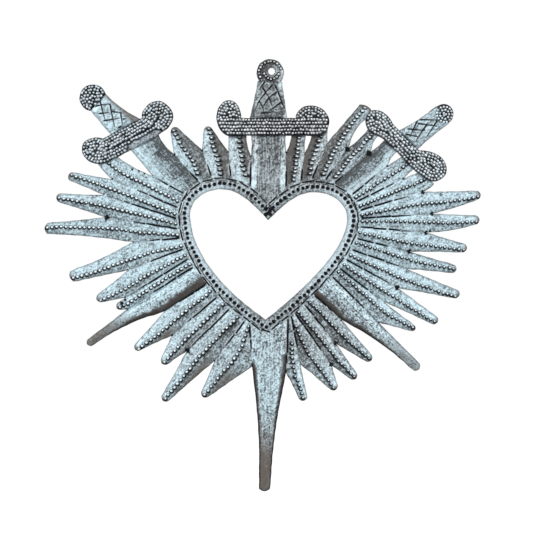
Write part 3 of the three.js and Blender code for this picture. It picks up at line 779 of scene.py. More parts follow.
def beads_of(node):
    """All the beads of a ray, guard or pommel, or the dots of the rim."""
    if "_ray_" in node:
        mark = RAY_BEADS[group_of(node)]
        pitch = OWN_PITCHES.get(node, mark[2])
        start = RAY_STARTS.get(node, RAY_START)
        end = RAY_ENDS["guard" if node in ENDS_ON_GUARD else "tip"]
        return punched(evenly(CRESTS[node], pitch, start, end), mark, "ray")
    if node == "centre_pommel":
        return punched(pommel_rings(), GUARD_BEAD, "pommel")
    if node in ("right_pommel", "right_grip"):
        return sized(disc_rings(node), GUARD_BEAD, spread=0)
    if node.endswith(("_guard", "_pommel")):
        laid = bar_rows(node, GUARD_BEAD[2]) if node == "centre_guard" else ()
        beads = bead_rows(node, GUARD_BEAD[2], laid)
        if node == "left_guard":
            beads = beads[distance(beads, meeting(node, EDGES["left_blade"])) > PLAIN_STRIP]
        return punched(beads, GUARD_BEAD, "guard")
    if node == "heart_rim":
        return punched(evenly(round_opening(DOT_LINE), RIM_DOT[2])[:-1], RIM_DOT, "rim")
    return np.zeros((0, 5))


# Relief


def tongue_relief(node, points):
    """Height of a tongue above the sheet."""
    foot = meeting(node, EDGES["heart_rim"])
    on_guard = meeting(node, GUARD_EDGES)
    to_side = distance(points, SIDES[node])
    to_crest = distance(points, chain(CRESTS[node]))
    half = to_side + to_crest
    share = to_side / np.maximum(half, 1e-6)
    if node.endswith("_blade"):
        height = BLADE_RISE * smooth(BLADE_SLOPE * to_side / BLADE_RISE)
    elif node.endswith("_point"):
        height = POINT_RIDGE * (1 - (1 - share) ** 2) * np.minimum(1, half / POINT_FULL)
    else:
        height = np.minimum(RAY_RIDGE * share, RAY_SLOPE * to_side)
    height = height * smooth(distance(points, foot) / RIM_FADE)
    if node in ENDS_ON_GUARD:
        height = height * smooth(distance(points, on_guard) / GUARD_FADE)
    return height


def relief(node, points):
    """Height of a node's embossing above the sheet."""
    if node in TONGUES:
        return tongue_relief(node, points)
    depth = distance(points, EDGES[node])
    if node == "heart_rim":
        return RIM_CROWN * smooth(depth / RIM_BORDER)
    if node.endswith("_guard"):
        return GUARD_RISE * np.sin(np.minimum(1, depth / GUARD_BORDER) * math.pi / 2)
    if node.endswith("_pommel"):
        return POMMEL_RISE * np.sin(np.minimum(1, depth / POMMEL_BORDER) * math.pi / 2)
    sword = sword_of(node)
    base, end = grip_axis(sword)
    ends = np.concatenate((meeting(node, EDGES[f"{sword}_guard"]), meeting(node, EDGES[f"{sword}_pommel"])))
    to_side = distance(points, apart(node, ends))
    to_axis = distance(points, chain([base, end]))
    share = to_side / np.maximum(to_side + to_axis, 1e-6)
    return GRIP_RISE * (1 - (1 - share) ** 2) * smooth(distance(points, ends) / GRIP_FADE)


# Meshes


def bead_points(beads):
    """The centre of each bead and rings of points round it, as far as the next bead."""
    spots, owners = [], []
    for size, count in BEAD_RINGS:
        angles = 2 * math.pi * np.arange(count) / count + size
        ring = np.column_stack((np.cos(angles), np.sin(angles)))
        spots.append((beads[:, None, :2] + ring * size * beads[:, None, 2:3]).reshape(-1, 2))
        owners.append(np.repeat(np.arange(len(beads)), count))
    spots = np.concatenate(spots)
    nearest = (lengths(spots[:, None] - beads[None, :, :2]) / beads[:, 2]).argmin(1)
    return np.concatenate((beads[:, :2], spots[nearest == np.concatenate(owners)]))


def stroke_points(strokes):
    """Rows of points along and beside each stroke."""
    spots = []
    for x0, z0, x1, z1, *_ in strokes:
        start, end = np.array((x0, z0)), np.array((x1, z1))
        side = unit(np.array((z0 - z1, x1 - x0)))
        count = max(3, round(lengths(end - start) / STROKE_STEP))
        shares = np.linspace(-STROKE_OVERRUN, 1 + STROKE_OVERRUN, count)
        line = start + shares[:, None] * (end - start)
        spots += [line + side * shift for shift in STROKE_ROWS]
    return np.concatenate(spots)


def burr_points(burrs):
    """A small lattice of points over each over-cut, without its corners."""
    span = range(-BURR_REACH, BURR_REACH + 1)
    steps = np.array([(i, j) for i in span for j in span if abs(i) + abs(j) < BURR_CORNER])
    return (burrs[:, None, :2] + steps * BURR_STEP).reshape(-1, 2)


def field_points(node, beads, strokes):
    """Points inside a node's outline: closely spaced on beads and strokes, wider elsewhere."""
    loops = LOOPS[node]
    low, high = loops[0].min(0), loops[0].max(0)
    rows = np.arange(low[1], high[1], FIELD_STEP * FIELD_ROW)
    xs = np.arange(low[0] - FIELD_STEP, high[0] + FIELD_STEP, FIELD_STEP)
    shifts = (np.arange(len(rows)) % 2) * FIELD_STEP / 2
    field = np.array([(x + shift, z) for z, shift in zip(rows, shifts) for x in xs])
    stray, swell = FIELD_WANDER
    field = field + np.column_stack((waves(field, swell, seed=8), waves(field, swell, seed=9))) * stray
    edges = EDGES[node]
    field = field[inside(field, loops)]
    field = field[distance(field, edges) > CLEAR_OF_EDGE]
    fine = [grown(loop, -EDGE_INSET) for loop in loops]
    if len(beads):
        gap = lengths(field[:, None] - beads[None, :, :2]) / beads[:, 2]
        field = field[gap.min(1) > BEAD_RINGS[-1][0] + CLEAR_OF_BEAD]
        fine.append(bead_points(beads))
    if len(strokes):
        field = field[distance(field, strokes[:, :4]) > CLEAR_OF_STROKE]
        fine.append(stroke_points(strokes))
    burrs = BURRS[distance(BURRS[:, :2], edges) < BURR_NEAR]
    if len(burrs) and node in TONGUES:
        fine.append(burr_points(burrs))
    fine = np.concatenate(fine)
    fine = fine[inside(fine, loops)]
    fine = fine[distance(fine, edges) > FINE_CLEARANCE]
    points = np.concatenate((fine, field))
    _, keep = np.unique(np.round(points / WELD), axis=0, return_index=True)
    return points[np.sort(keep)]


def triangles_over(loops, field):
    """Points and triangles that fill the loops."""
    points = np.concatenate([*loops, field])
    edges = []
    start = 0
    for loop in loops:
        count = len(loop)
        edges += [(start + i, start + (i + 1) % count) for i in range(count)]
        start += count
    made = delaunay_2d_cdt([Vector(p) for p in points], edges, [], 0, 1e-4)
    plan = np.array([tuple(v) for v in made[0]])
    faces = np.array(made[2])
    faces = faces[inside(plan[faces].mean(1), loops)]
    corners = plan[faces]
    ab, ac = corners[:, 1] - corners[:, 0], corners[:, 2] - corners[:, 0]
    turned = ab[:, 0] * ac[:, 1] - ab[:, 1] * ac[:, 0] < 0
    faces[turned] = faces[turned][:, ::-1]
    return plan, faces


def solid_sheet(name, plan, faces, height, marks, materials):
    """A closed mesh of the sheet: front, back and cut edges, with its painted marks."""
    used = np.unique(faces)
    order = np.full(len(plan), -1)
    order[used] = np.arange(len(used))
    plan, height, faces = plan[used], height[used], order[faces]
    count = len(plan)
    front = np.column_stack((plan[:, 0], -height - SHEET, plan[:, 1]))
    back = np.column_stack((plan[:, 0], -height, plan[:, 1]))
    directed = {(int(a), int(b)) for face in faces for a, b in zip(face, np.roll(face, -1))}
    rim = sorted(edge for edge in directed if edge[::-1] not in directed)
    quads = [(a, a + count, b + count, b) for a, b in rim]
    polygons = [tuple(map(int, face)) for face in faces]
    polygons += [(int(a) + count, int(c) + count, int(b) + count) for a, b, c in faces]
    mesh = bpy.data.meshes.new(name)
    mesh.from_pydata(np.concatenate((front, back)) * MM, [], polygons + quads)
    for key, values in marks.items():
        kind = "FLOAT" if values.ndim == 1 else "FLOAT_VECTOR"
        layer = mesh.attributes.new(key, kind, "POINT")
        both = np.concatenate((values[used], values[used]))
        layer.data.foreach_set("value" if kind == "FLOAT" else "vector", both.ravel().astype(np.float32))
    numbers = range(len(mesh.polygons))
    mesh.polygons.foreach_set("use_smooth", [i < 2 * len(faces) for i in numbers])
    mesh.polygons.foreach_set("material_index", [0 if i < len(faces) else 1 for i in numbers])
    cut = {tuple(sorted(edge)) for edge in rim} | {tuple(sorted((a + count, b + count))) for a, b in rim}
    sharp = mesh.attributes.new("sharp_edge", "BOOLEAN", "EDGE")
    sharp.data.foreach_set("value", [tuple(sorted(edge.vertices)) in cut for edge in mesh.edges])
    for material in materials:
        mesh.materials.append(material)
    mesh.validate()
    piece = bpy.data.objects.new(name, mesh)
    bpy.context.scene.collection.objects.link(piece)
    return piece


def from_beads(node, plan, beads):
    """For each point the nearest bead, and the way from it in shares of the bead's size."""
    offset = plan[:, None] - beads[None, :, :2]
    near = lengths(offset).argmin(1)
    away = offset[np.arange(len(plan)), near] / beads[near, 2:3]
    if "_ray_" in node:
        _, axis, stretch, *_ = BEAD_LOOKS[group_of(node)]
        axis = unit(np.array(axis, float))
        away = away - np.outer(away @ axis, axis) * (1 - 1 / stretch)
    if node.endswith("_guard"):
        _, along, across, _ = bar_axes(sword_of(node))
        away = np.column_stack((away @ along / BAR_STRETCH, -away @ across))
    return near, away


# Painted shadow and highlight of the beads. Radii, widths and shifts are in radii of the bead.

# Each group of rays: the side where the painted shadow lies, the long axis and how much longer the bead is
# that way, how far the shadow lies to its side, and the radius and strength of the painted highlight on the
# crown
BEAD_LOOKS = {
    "left": ((-0.45, -0.89), (1, 0), 1.0, 0.26, 0.66, 1.0),
    "top_left": ((0.3, -0.95), (0.99, -0.15), 1.9, 0.5, 0.5, 0.75),
    "top_right": ((-0.6, -0.8), (0.99, -0.12), 2.0, 0.48, 0.58, 0.95),
    "right": ((-0.2, -0.98), (1, 0), 1.0, 0.3, 0.58, 0.9),
    "bottom_right": ((-0.45, -0.89), (0.8, -0.6), 1.25, 0.34, 0.54, 0.75),
    "bottom_left": ((0.3, -0.95), (1, 0), 1.0, 0.28, 0.64, 0.9),
}
RAY_BEAD_SHADOW = (1.45, 0.22)  # radius of the painted shadow beside a bead, and the width of its soft edge
CROWN_SHIFT = 0.2  # away from the painted shadow
CROWN_SHINE = (0.65, 0.5)  # what every crown has of its group's painted highlight, and what its own adds
CROWN_EDGES = (0.26, 0.1, 0.4)  # where the painted shadow starts to show, how far the painted highlight reaches past it, and its soft edge

GUARD_LOOKS = {"centre": (0.9, 1.25), "left": (1.0, 0.95), "right": (0.93, 1.2)}  # painted shade between the beads, and painted highlight on their crowns
PACKED_SHADE = (0.72, 0.32)  # where the painted shade between beads starts, and the width of its soft edge
SHADE_ENDS = {"centre_pommel": (1.6, 0.3), "left_guard": (2.1, 0.5)}  # the same for its end beside bare steel
SHADE_CLOUD = (0.12, 8)  # how much the painted shade varies, and over what length
DISC_EDGE = 0.7
PACKED_CROWN = ((0.1, 0.2), 0.68, 0.4)  # place, radius and width of the soft edge of the painted highlight on a crown

DOT_SHADOW = (0.7, -0.7)
DOT_BLACK = (0.3, 1.28, 0.3)  # shift to its shadow, radius, and the width of the soft edge
DOT_LIP = (1.3, 0.24, 0.85)  # radius, width and light of the painted highlight on the lip round a dot


def dot_marks(away, highlight):
    """Painted shadow, black, right across a dot of the rim, and a painted highlight on the lip above it."""
    shift, radius, blur = DOT_BLACK
    lip_radius, lip_width, light = DOT_LIP
    out = lengths(away)
    above = -away @ DOT_SHADOW / np.maximum(out, 0.3)
    lip = fading(out - lip_radius, lip_width) * np.clip(above, 0, 1)
    black = falling(lengths(away - np.array(DOT_SHADOW) * shift), radius, blur)
    return black, light * highlight * lip


def ray_bead_marks(node, away, highlight):
    """Painted shadow to one side of a ray's beads, and a painted highlight on their crowns."""
    shadow, _, _, shift, crown_size, shine = BEAD_LOOKS[group_of(node)]
    inner_edge, overlap, outer_edge = CROWN_EDGES
    from_crown = lengths(away + np.array(shadow) * CROWN_SHIFT)
    shade_and_soot = falling(lengths(away - np.array(shadow) * shift), *RAY_BEAD_SHADOW)
    shade_and_soot = shade_and_soot * rising(from_crown, crown_size, inner_edge)
    least, more = CROWN_SHINE
    return shade_and_soot, shine * (least + more * highlight) * falling(from_crown, crown_size + overlap, outer_edge)


def packed_bead_marks(node, plan, away, highlight):
    """Painted shade between the close beads of a guard or a pommel, and a painted highlight on their crowns.
    """
    strength, shine = GUARD_LOOKS[sword_of(node)]
    cloud, swell = SHADE_CLOUD
    place, radius, blur = PACKED_CROWN
    shade_and_soot = rising(lengths(away), *PACKED_SHADE)
    if node in SHADE_ENDS:
        shade_and_soot = shade_and_soot * falling(lengths(away), *SHADE_ENDS[node])
    if node != "centre_pommel":
        shade_and_soot = shade_and_soot * (strength + cloud * waves(plan, swell, seed=34))
    if node == "right_grip":
        centre, disc = POMMEL_DISC
        shade_and_soot = shade_and_soot * falling(lengths(plan - centre), disc, DISC_EDGE)
    return shade_and_soot, shine * highlight * falling(lengths(away - place), radius, blur)


def bead_marks(node, plan, beads):
    """The painted shadow and highlight that a node's beads or dots bring."""
    near, away = from_beads(node, plan, beads)
    highlight = beads[near, 4]
    if node == "heart_rim":
        return dot_marks(away, highlight)
    if "_ray_" in node:
        return ray_bead_marks(node, away, highlight)
    return packed_bead_marks(node, plan, away, highlight)


def own_frame(node, plan):
    """Run along and offset across a tongue, with the unit vector across it."""
    crest = CRESTS[node]
    axis = unit(crest[-1] - crest[0])
    side = np.array((-axis[1], axis[0]))
    return (plan - crest[0]) @ axis, (plan - crest[0]) @ side, side


# Painted shade and light of the slopes, by where they are and which way they face
CREST_WIDTH = 1.6  # half width of the crest, where neither slope's tone holds
MIDDLE_WIDTH = 12  # on either side of the heart's middle, where left turns to right
FACING = (0.9, 0.55)  # how much it counts that a slope faces outwards, and upwards
HIGH_SLOPES = (-100, 45)  # from where slopes differ more, and over what height
LOW_CONTRAST = 0.34
LIT_SHARE = 0.6  # of the tone, on the bright slopes
RIGHT_SIDE = (40, 30)  # from the middle of the heart
RIGHT_LIFT = 0.6  # how much paler the dark slopes are at the right
RIGHT_LIGHT = (0.12, -125, 30)  # how much lighter the right side is, above where, and over what height
BLADE_TONES = {"left_blade": (0.7, -0.45), "right_blade": (1.1, -0.3)}  # difference of painted shade and light across it, and level
BLADE_TURN = 6  # half the width over which that difference comes
CENTRE_BEVEL = (3.0, 1.4)  # where the bevel of the centre blade ends, and the width of its soft edge
BEVEL_CLOUD = 6  # over what length its tone varies
GRIP_STREAKS = (1.1, 6, 1.5, 2)  # painted highlights on the centre grip: strength and length, and where from the edge they end and how softly
RIM_SHADE = (1.2, 45, 0.3)  # soft edge at the dots, half width that stays pale, and how pale
LEFT_GRIP_TONE = 0.25
POMMEL_TONES = (0.5, 2, 3)  # strength, place and half width of the turn from painted shade to painted light


def tongue_shade(node, plan):
    """Painted shade and light of a tongue's slopes."""
    along, across, side = own_frame(node, plan)
    crest_along, crest_across, _ = own_frame(node, CRESTS[node])
    across = across - np.interp(along, crest_along, crest_across)
    if node in BLADE_TONES:
        fall, level = BLADE_TONES[node]
        return fall * np.clip(-across * np.sign(side[1]) / BLADE_TURN, -1, 1) + level
    if node == "centre_blade":
        bevel = 1 - rising(distance(plan, SIDES[node]), *CENTRE_BEVEL)
        return bevel * (0.5 + 0.5 * waves(plan, BEVEL_CLOUD, seed=31))
    from_middle = plan[:, 0] - HEART_CENTRE[0]
    outward, upward = FACING
    light, above, run = RIGHT_LIGHT
    facing = np.sign(across) * (side[0] * np.tanh(from_middle / MIDDLE_WIDTH) * outward + side[1] * upward)
    contrast = LOW_CONTRAST + (1 - LOW_CONTRAST) * rising(plan[:, 1], *HIGH_SLOPES)
    tone = smooth(np.abs(across) / CREST_WIDTH) * facing * contrast
    right = rising(from_middle, *RIGHT_SIDE)
    tone = np.where(tone > 0, LIT_SHARE * tone, tone * (1 - RIGHT_LIFT * right))
    return tone + light * right * rising(plan[:, 1], above, run)


def shade_of(node, plan):
    """Painted shade and light, -1 to 1: dark where a slope faces in or down, bright where it faces out or up.
    """
    if node in TONGUES:
        return tongue_shade(node, plan)
    if node == "heart_rim":
        blur, pale, level = RIM_SHADE
        inner = falling(distance(plan, closed(OPENING)), DOT_LINE, blur)
        return inner * (smooth(np.abs(plan[:, 0] - HEART_CENTRE[0]) / pale) - level)
    if node == "centre_grip":
        strength, swell, end, blur = GRIP_STREAKS
        inner = rising(distance(plan, FREE_EDGES[node]), end, blur)
        return strength * waves(plan, swell, seed=35) * (1 - inner)
    if node == "centre_pommel":
        strength, turn, blur = POMMEL_TONES
        return strength * np.tanh((plan[:, 0] - turn) / blur)
    return np.full(len(plan), LEFT_GRIP_TONE if node == "left_grip" else 0.0)


# Greyer, darker areas: centre, reach each way and depth, round the centre sword and among the lower rays
DIMMED_AREAS = (
    ((10, -42), (50, 34), 1.0),
    ((30, -160), (32, 26), 0.8),
    ((-35, -165), (40, 26), 0.4),
    ((-4, -232), (30, 24), 0.8),
)
BLADE_DIMMING = 0.9  # between the bevels of the centre blade
GRIP_DIMMING = (3, 0.3, 7)  # how far in it is full, how uneven it is, and over what length


def grey_dimming_of(node, plan):
    """How much greyer and darker the steel is, from 0 to 1."""
    areas = [depth * np.exp(-(((plan - centre) / reach) ** 2).sum(1)) for centre, reach, depth in DIMMED_AREAS]
    grey_dimming = np.max(areas, axis=0)
    if node == "centre_blade":
        between_bevels = rising(distance(plan, SIDES[node]), *CENTRE_BEVEL)
        grey_dimming = np.maximum(grey_dimming, BLADE_DIMMING * between_bevels)
    if node in ("centre_grip", "centre_pommel"):
        depth, stray, swell = GRIP_DIMMING
        edge = distance(plan, FREE_EDGES[node]) / depth + stray * waves(plan, swell, seed=33)
        grey_dimming = np.maximum(grey_dimming, smooth(edge))
    return grey_dimming


# Painted shade on the dark bevels of the sword points: width at the foot, and share of the length where they
# run out
POINT_BANDS = {
    "centre_sword_point": (2.7, 1.1),
    "left_sword_point": (3.8, 0.9),
    "right_sword_point": (5.6, 0.85),
}
BAND_TAPER = 0.8
BAND_EDGE = (0.2, 6, 0.9)  # how uneven it is, over what length, and how soft

# Black, soot and painted shade: depth and reach
EDGE_DARKENING = (0.5, 0.4)
STROKE_DARKENING = (0.12, 0.3)  # least press that blackens, and over what more it does so
# painted shadow on a tongue beside a guard: depth and reach
GUARD_SHADOW = (0.6, 1.1)
BAND_SHADE = (0.5, 0.4, 1.2)  # painted shade on a point's bevel: its depth, more at its edge, and how far that reaches
GRIP_DARKENING = (0.15, 3)

# Brown, and painted shade in brown: depth and reach
EDGE_BROWN = (0.35, 0.6)
TIP_BROWN = {"centre_sword_point": 1.0, "left_sword_point": 0.5, "right_sword_point": 0.85}
POINT_TIP = (0.5, 0.4)  # shares of the length where it starts, and over which it deepens
RAY_TIP = (0.85, 3.4)
TOP_BROWN = -0.6  # painted shade in brown, from the shade of the top rays
LOW_BROWN = (0.8, 0.5, 2.5)  # painted shade in brown on lower slopes at the bottom left: depth, start beside the crest, soft edge
LOW_BROWN_RUN = (18, 1.3)  # over what length of the ray it comes, and from what share of that length
GRIP_BROWN = (0.8, 3.2, 2.6)  # above the axis of the left grip: depth, start and soft edge
GRIP_LIP = 0.5  # painted highlight on the lip of an engraved line,
CUT_LIP = 0.4  # and of a chisel stroke


def point_band(node, plan):
    """1 in the painted shade of the bevel along the lower edge, or both edges, of a sword point, and 0 clear
    of it.
    """
    width_at_foot, run_out = POINT_BANDS[node]
    along, _, side = own_frame(node, plan)
    length = lengths(CRESTS[node][-1] - CRESTS[node][0])
    edges = FREE_EDGES[node]
    if node != "centre_sword_point":
        edges = SIDES[node]
        _, edge_across, _ = own_frame(node, (edges[:, :2] + edges[:, 2:]) / 2)
        edges = edges[edge_across * side[1] < 0]
    stray, swell, blur = BAND_EDGE
    reach = width_at_foot * (1 - np.clip(along / (length * run_out), 0, 1)) ** BAND_TAPER
    uneven = reach * (1 + stray * waves(plan, swell, seed=32))
    return smooth((uneven - distance(plan, edges)) / blur + 0.5) * (reach > 0)


def nicks_of(node):
    """Small dark nicks that the shears left along a free edge."""
    edges = FREE_EDGES[node]
    if node not in TONGUES or len(edges) == 0:
        return np.zeros((0, 2))
    return edges[rng.integers(0, len(edges), NICKS[0]), :2]


def shade_and_soot_of(node, plan, strokes):
    """Black in the chisel strokes, over-cuts, nicks and free edges, and painted shadow by guards and on point
    bevels.
    """
    from_edge = distance(plan, FREE_EDGES[node])
    depth, reach = EDGE_DARKENING
    layers = [depth * fading(from_edge, reach), rising(pressed(plan, strokes), *STROKE_DARKENING)]
    layers += [fading(lengths(plan - nick), NICKS[1]) for nick in nicks_of(node)]
    if node in TONGUES:
        depth, reach = GUARD_SHADOW
        layers += [burred(plan), depth * fading(distance(plan, GUARD_EDGES), reach)]
    if node in POINT_BANDS:
        depth, more, reach = BAND_SHADE
        near_edge = fading(distance(plan, SIDES[node]), reach)
        layers.append(point_band(node, plan) * (depth + more * near_edge))
    if node == "centre_grip":
        depth, reach = GRIP_DARKENING
        layers.append(depth * smooth(from_edge / reach))
    return np.max(layers, axis=0)


def brown_and_shade_of(node, plan):
    """Brown on free edges, tips and the left grip, and painted shade in brown on point bevels and shaded ray
    slopes.
    """
    depth, reach = EDGE_BROWN
    layers = [depth * fading(distance(plan, FREE_EDGES[node]), reach)]
    if node in TONGUES and node not in ENDS_ON_GUARD:
        along, _, _ = own_frame(node, plan)
        length = lengths(CRESTS[node][-1] - CRESTS[node][0])
        depth, reach = RAY_TIP
        if node in POINT_BANDS:
            layers.append(TIP_BROWN[node] * rising(along / length, *POINT_TIP))
        else:
            layers.append(depth * smooth((along - length + reach) / reach))
    if node in POINT_BANDS:
        layers.append(point_band(node, plan))
    if node.startswith("top_"):
        layers.append(TOP_BROWN * shade_of(node, plan))
    if node.startswith("bottom_left"):
        along, across, side = own_frame(node, plan)
        depth, start, blur = LOW_BROWN
        length, share = LOW_BROWN_RUN
        layers.append(depth * (rising(-across * side[1], start, blur) * smooth(along / length - share)))
    if node == "left_grip":
        base, end = grip_axis("left")
        axis = unit(end - base)
        depth, start, blur = GRIP_BROWN
        layers.append(depth * rising((plan - base) @ np.array((axis[1], -axis[0])), start, blur))
    return np.max(layers, axis=0)


def marks_of(node, plan, beads, strokes):
    """Painted marks of the surface; the grain runs along the piece."""
    shade_and_soot, gleam = shade_and_soot_of(node, plan, strokes), np.zeros(len(plan))
    if len(beads):
        bead_shadows, gleam = bead_marks(node, plan, beads)
        shade_and_soot = np.maximum(shade_and_soot, bead_shadows)
    # painted highlights on the lips beside the strokes
    if len(strokes):
        lips = strokes + (*LIP_SHIFT, *LIP_SHIFT, 0, 0)
        lip = GRIP_LIP if node.endswith("_grip") else CUT_LIP
        gleam = np.maximum(gleam, lip * pressed(plan, lips) * (1 - shade_and_soot))
    along, across = plan[:, 0], plan[:, 1]
    if node in TONGUES:
        along, across, _ = own_frame(node, plan)
    return {
        "grain": np.column_stack((along, across, np.full(len(plan), float(NODES.index(node))))),
        "shade_and_soot": np.clip(shade_and_soot, 0, 1),
        "brown_and_shade": np.clip(brown_and_shade_of(node, plan), 0, 1),
        "gleam": np.clip(gleam, 0, 1),
        "shade": 0.5 + 0.5 * np.clip(shade_of(node, plan), -1, 1),
        "grey_dimming": np.clip(grey_dimming_of(node, plan), 0, 1),
    }


def nearby(strokes, node):
    """The strokes that reach a node's own box."""
    low, high = LOOPS[node][0].min(0) - 1, LOOPS[node][0].max(0) + 1
    starts, ends = strokes[:, :2], strokes[:, 2:4]
    clear = (np.maximum(starts, ends) < low).any(1) | (np.minimum(starts, ends) > high).any(1)
    return strokes[~clear]


def surface_of(node, plan, beads, strokes):
    """Height of the front: the embossing with its hammer marks, beads, strokes and over-cuts."""
    wide, narrow = HAMMER_SWELLS
    height = relief(node, plan)
    height += HAMMER_DEPTH * (waves(plan, wide, seed=21) + 0.5 * waves(plan, narrow, seed=22))
    depth, reach = WORN_EDGE
    height -= depth * fading(distance(plan, FREE_EDGES[node]), reach)
    if len(beads):
        near, away = from_beads(node, plan, beads)
        out = lengths(away)
        depth, radius, reach = BEAD_DITCH
        height += beads[near, 3] * np.maximum(0, 1 - out**2) ** BEAD_FORM
        height -= depth * fading(out - radius, reach) * np.sign(beads[near, 3])
    height -= STROKE_DEPTH * pressed(plan, strokes)
    if node in TONGUES:
        height -= BURR_DEPTH * burred(plan)
    return height


def make_piece(node, materials):
    beads = beads_of(node)
    strokes = nearby(STROKES, node)
    if node.endswith("_grip"):
        strokes = lattice_strokes(sword_of(node))
    if node.endswith(("_guard", "_pommel")):
        strokes = strokes[:0]
    plan, faces = triangles_over(LOOPS[node], field_points(node, beads, strokes))
    height = surface_of(node, plan, beads, strokes)
    marks = marks_of(node, plan, beads, strokes)
    piece = solid_sheet(f"{node}_steel", plan, faces, height, marks, materials)
    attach(piece, "root")
    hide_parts(node)
    return piece


# Shaders


class Value:
    """A shader output that can be used in a sum."""

    def __init__(self, paint, output):
        self.paint = paint
        self.output = output

    def __add__(self, other):
        return self.paint.sum("ADD", self, other)

    def __radd__(self, other):
        return self.paint.sum("ADD", other, self)

    def __sub__(self, other):
        return self.paint.sum("SUBTRACT", self, other)

    def __rsub__(self, other):
        return self.paint.sum("SUBTRACT", other, self)

    def __mul__(self, other):
        return self.paint.sum("MULTIPLY", self, other)

    def __rmul__(self, other):
        return self.paint.sum("MULTIPLY", other, self)


class Paint:
    """A material, or the world, and its nodes."""

    def __init__(self, holder):
        holder.use_nodes = True
        self.holder = holder
        self.tree = holder.node_tree
        self.tree.nodes.clear()

    def node(self, kind, settings=None, inputs=None):
        """A node with its settings first, then the values or links of its sockets."""
        made = self.tree.nodes.new(kind)
        for key, value in (settings or {}).items():
            setattr(made, key, value)
        for key, value in (inputs or {}).items():
            if isinstance(value, Value):
                self.tree.links.new(value.output, made.inputs[key])
            else:
                made.inputs[key].default_value = value
        return made

    def value(self, kind, settings=None, inputs=None, output=0):
        return Value(self, self.node(kind, settings, inputs).outputs[output])

    def sum(self, operation, *terms):
        return self.value("ShaderNodeMath", {"operation": operation}, dict(enumerate(terms)))

    def clamped(self, term):
        return self.value("ShaderNodeMath", {"operation": "ADD", "use_clamp": True}, {0: term, 1: 0.0})

    def between(self, term, low, high):
        """0 below low, 1 above high and a smooth step between them."""
        inputs = {"Value": term, "From Min": low, "From Max": high}
        return self.value("ShaderNodeMapRange", {"interpolation_type": "SMOOTHSTEP"}, inputs)

    def mixed(self, factor, first, second, blend="MIX"):
        settings = {"data_type": "RGBA", "blend_type": blend}
        return self.value("ShaderNodeMix", settings, {0: factor, 6: first, 7: second}, output=2)

    def scaled(self, vector, scale):
        """A vector stretched by a scale for each axis."""
        return self.value("ShaderNodeVectorMath", {"operation": "MULTIPLY"}, {0: vector, 1: scale})

    def noise(self, vector, size, detail=3.0, roughness=0.55):
        """Noise whose patches are about a size across, in the vector's own unit."""
        inputs = {"Vector": vector, "Scale": 1 / size, "Detail": detail, "Roughness": roughness}
        return self.value("ShaderNodeTexNoise", None, inputs)

    def mark(self, name, output=2):
        return self.value("ShaderNodeAttribute", {"attribute_name": name}, output=output)

    def seen(self):
        """1 for what the camera sees, straight or in a gloss or through glass, and 0 for plain light."""
        path = self.node("ShaderNodeLightPath")
        straight, gloss, glass = (
            Value(self, path.outputs[f"Is {kind} Ray"]) for kind in ("Camera", "Glossy", "Transmission")
        )
        return self.sum("MAXIMUM", straight, self.sum("MAXIMUM", gloss, glass))


# Noises of the steel: size of the patches, detail and roughness
SAND = (1.1 * MM, 3, 0.65)
BLOTCH = (5 * MM, 3, 0.6)
CLOUD = (40 * MM, 2, 0.5)
HATCH = (1.6 * MM, 2, 0.5)
PITS = (2.6 * MM, 2, 0.5)
BRUSH = (1.0, 3, 0.6)  # in the grain's own unit
HATCH_ANGLE = math.radians(40)
HATCH_STRETCH = (0.22, 1, 1)  # less than 1 draws the patches out that way
BRUSH_STRETCH = (0.1, 1.2, 3.1)  # along the piece, across it, and from piece to piece

# How strongly the finish follows the noises and the painted marks
TONE = {"blotch": 0.7, "cloud": 0.6, "hatch": 1.1, "streak": 2.2, "shade": 1.15, "grey_dimming": 0.4}
PIT_EDGES = (0.64, 0.74)
PIT_DEPTH = 0.6
BROWNING = {"sand": 2.3, "blotch": 1.8, "clean": 1.15}  # clean is what is taken off
GLEAM_AND_SAND = (0.55, 0.6)
SHADE_AND_SOOT_SAND = (0.8, 0.4)
METALLIC = {"steel": 0.6, "brown_and_shade": 0.3, "dull": 0.4}  # of plain steel, and what the others take off
ROUGHNESS = {"steel": 0.38, "sand": 0.2, "brown_and_shade": 0.15, "dull": 0.15, "gleam": 0.15}  # gleam takes it off
BUMP = {"sand": 0.4, "streak": 0.5, "hatch": 0.2}
BUMP_FORM = (0.4, 0.25 * MM)  # strength and depth

NEUTRAL = (1, 0.88, 0.84, 1)
BROWN = (0.125, 0.1, 0.082, 1)
NEAR_BLACK = (0.012, 0.013, 0.015, 1)
PAINTED_HIGHLIGHT = (0.9, 0.94, 0.96, 1)


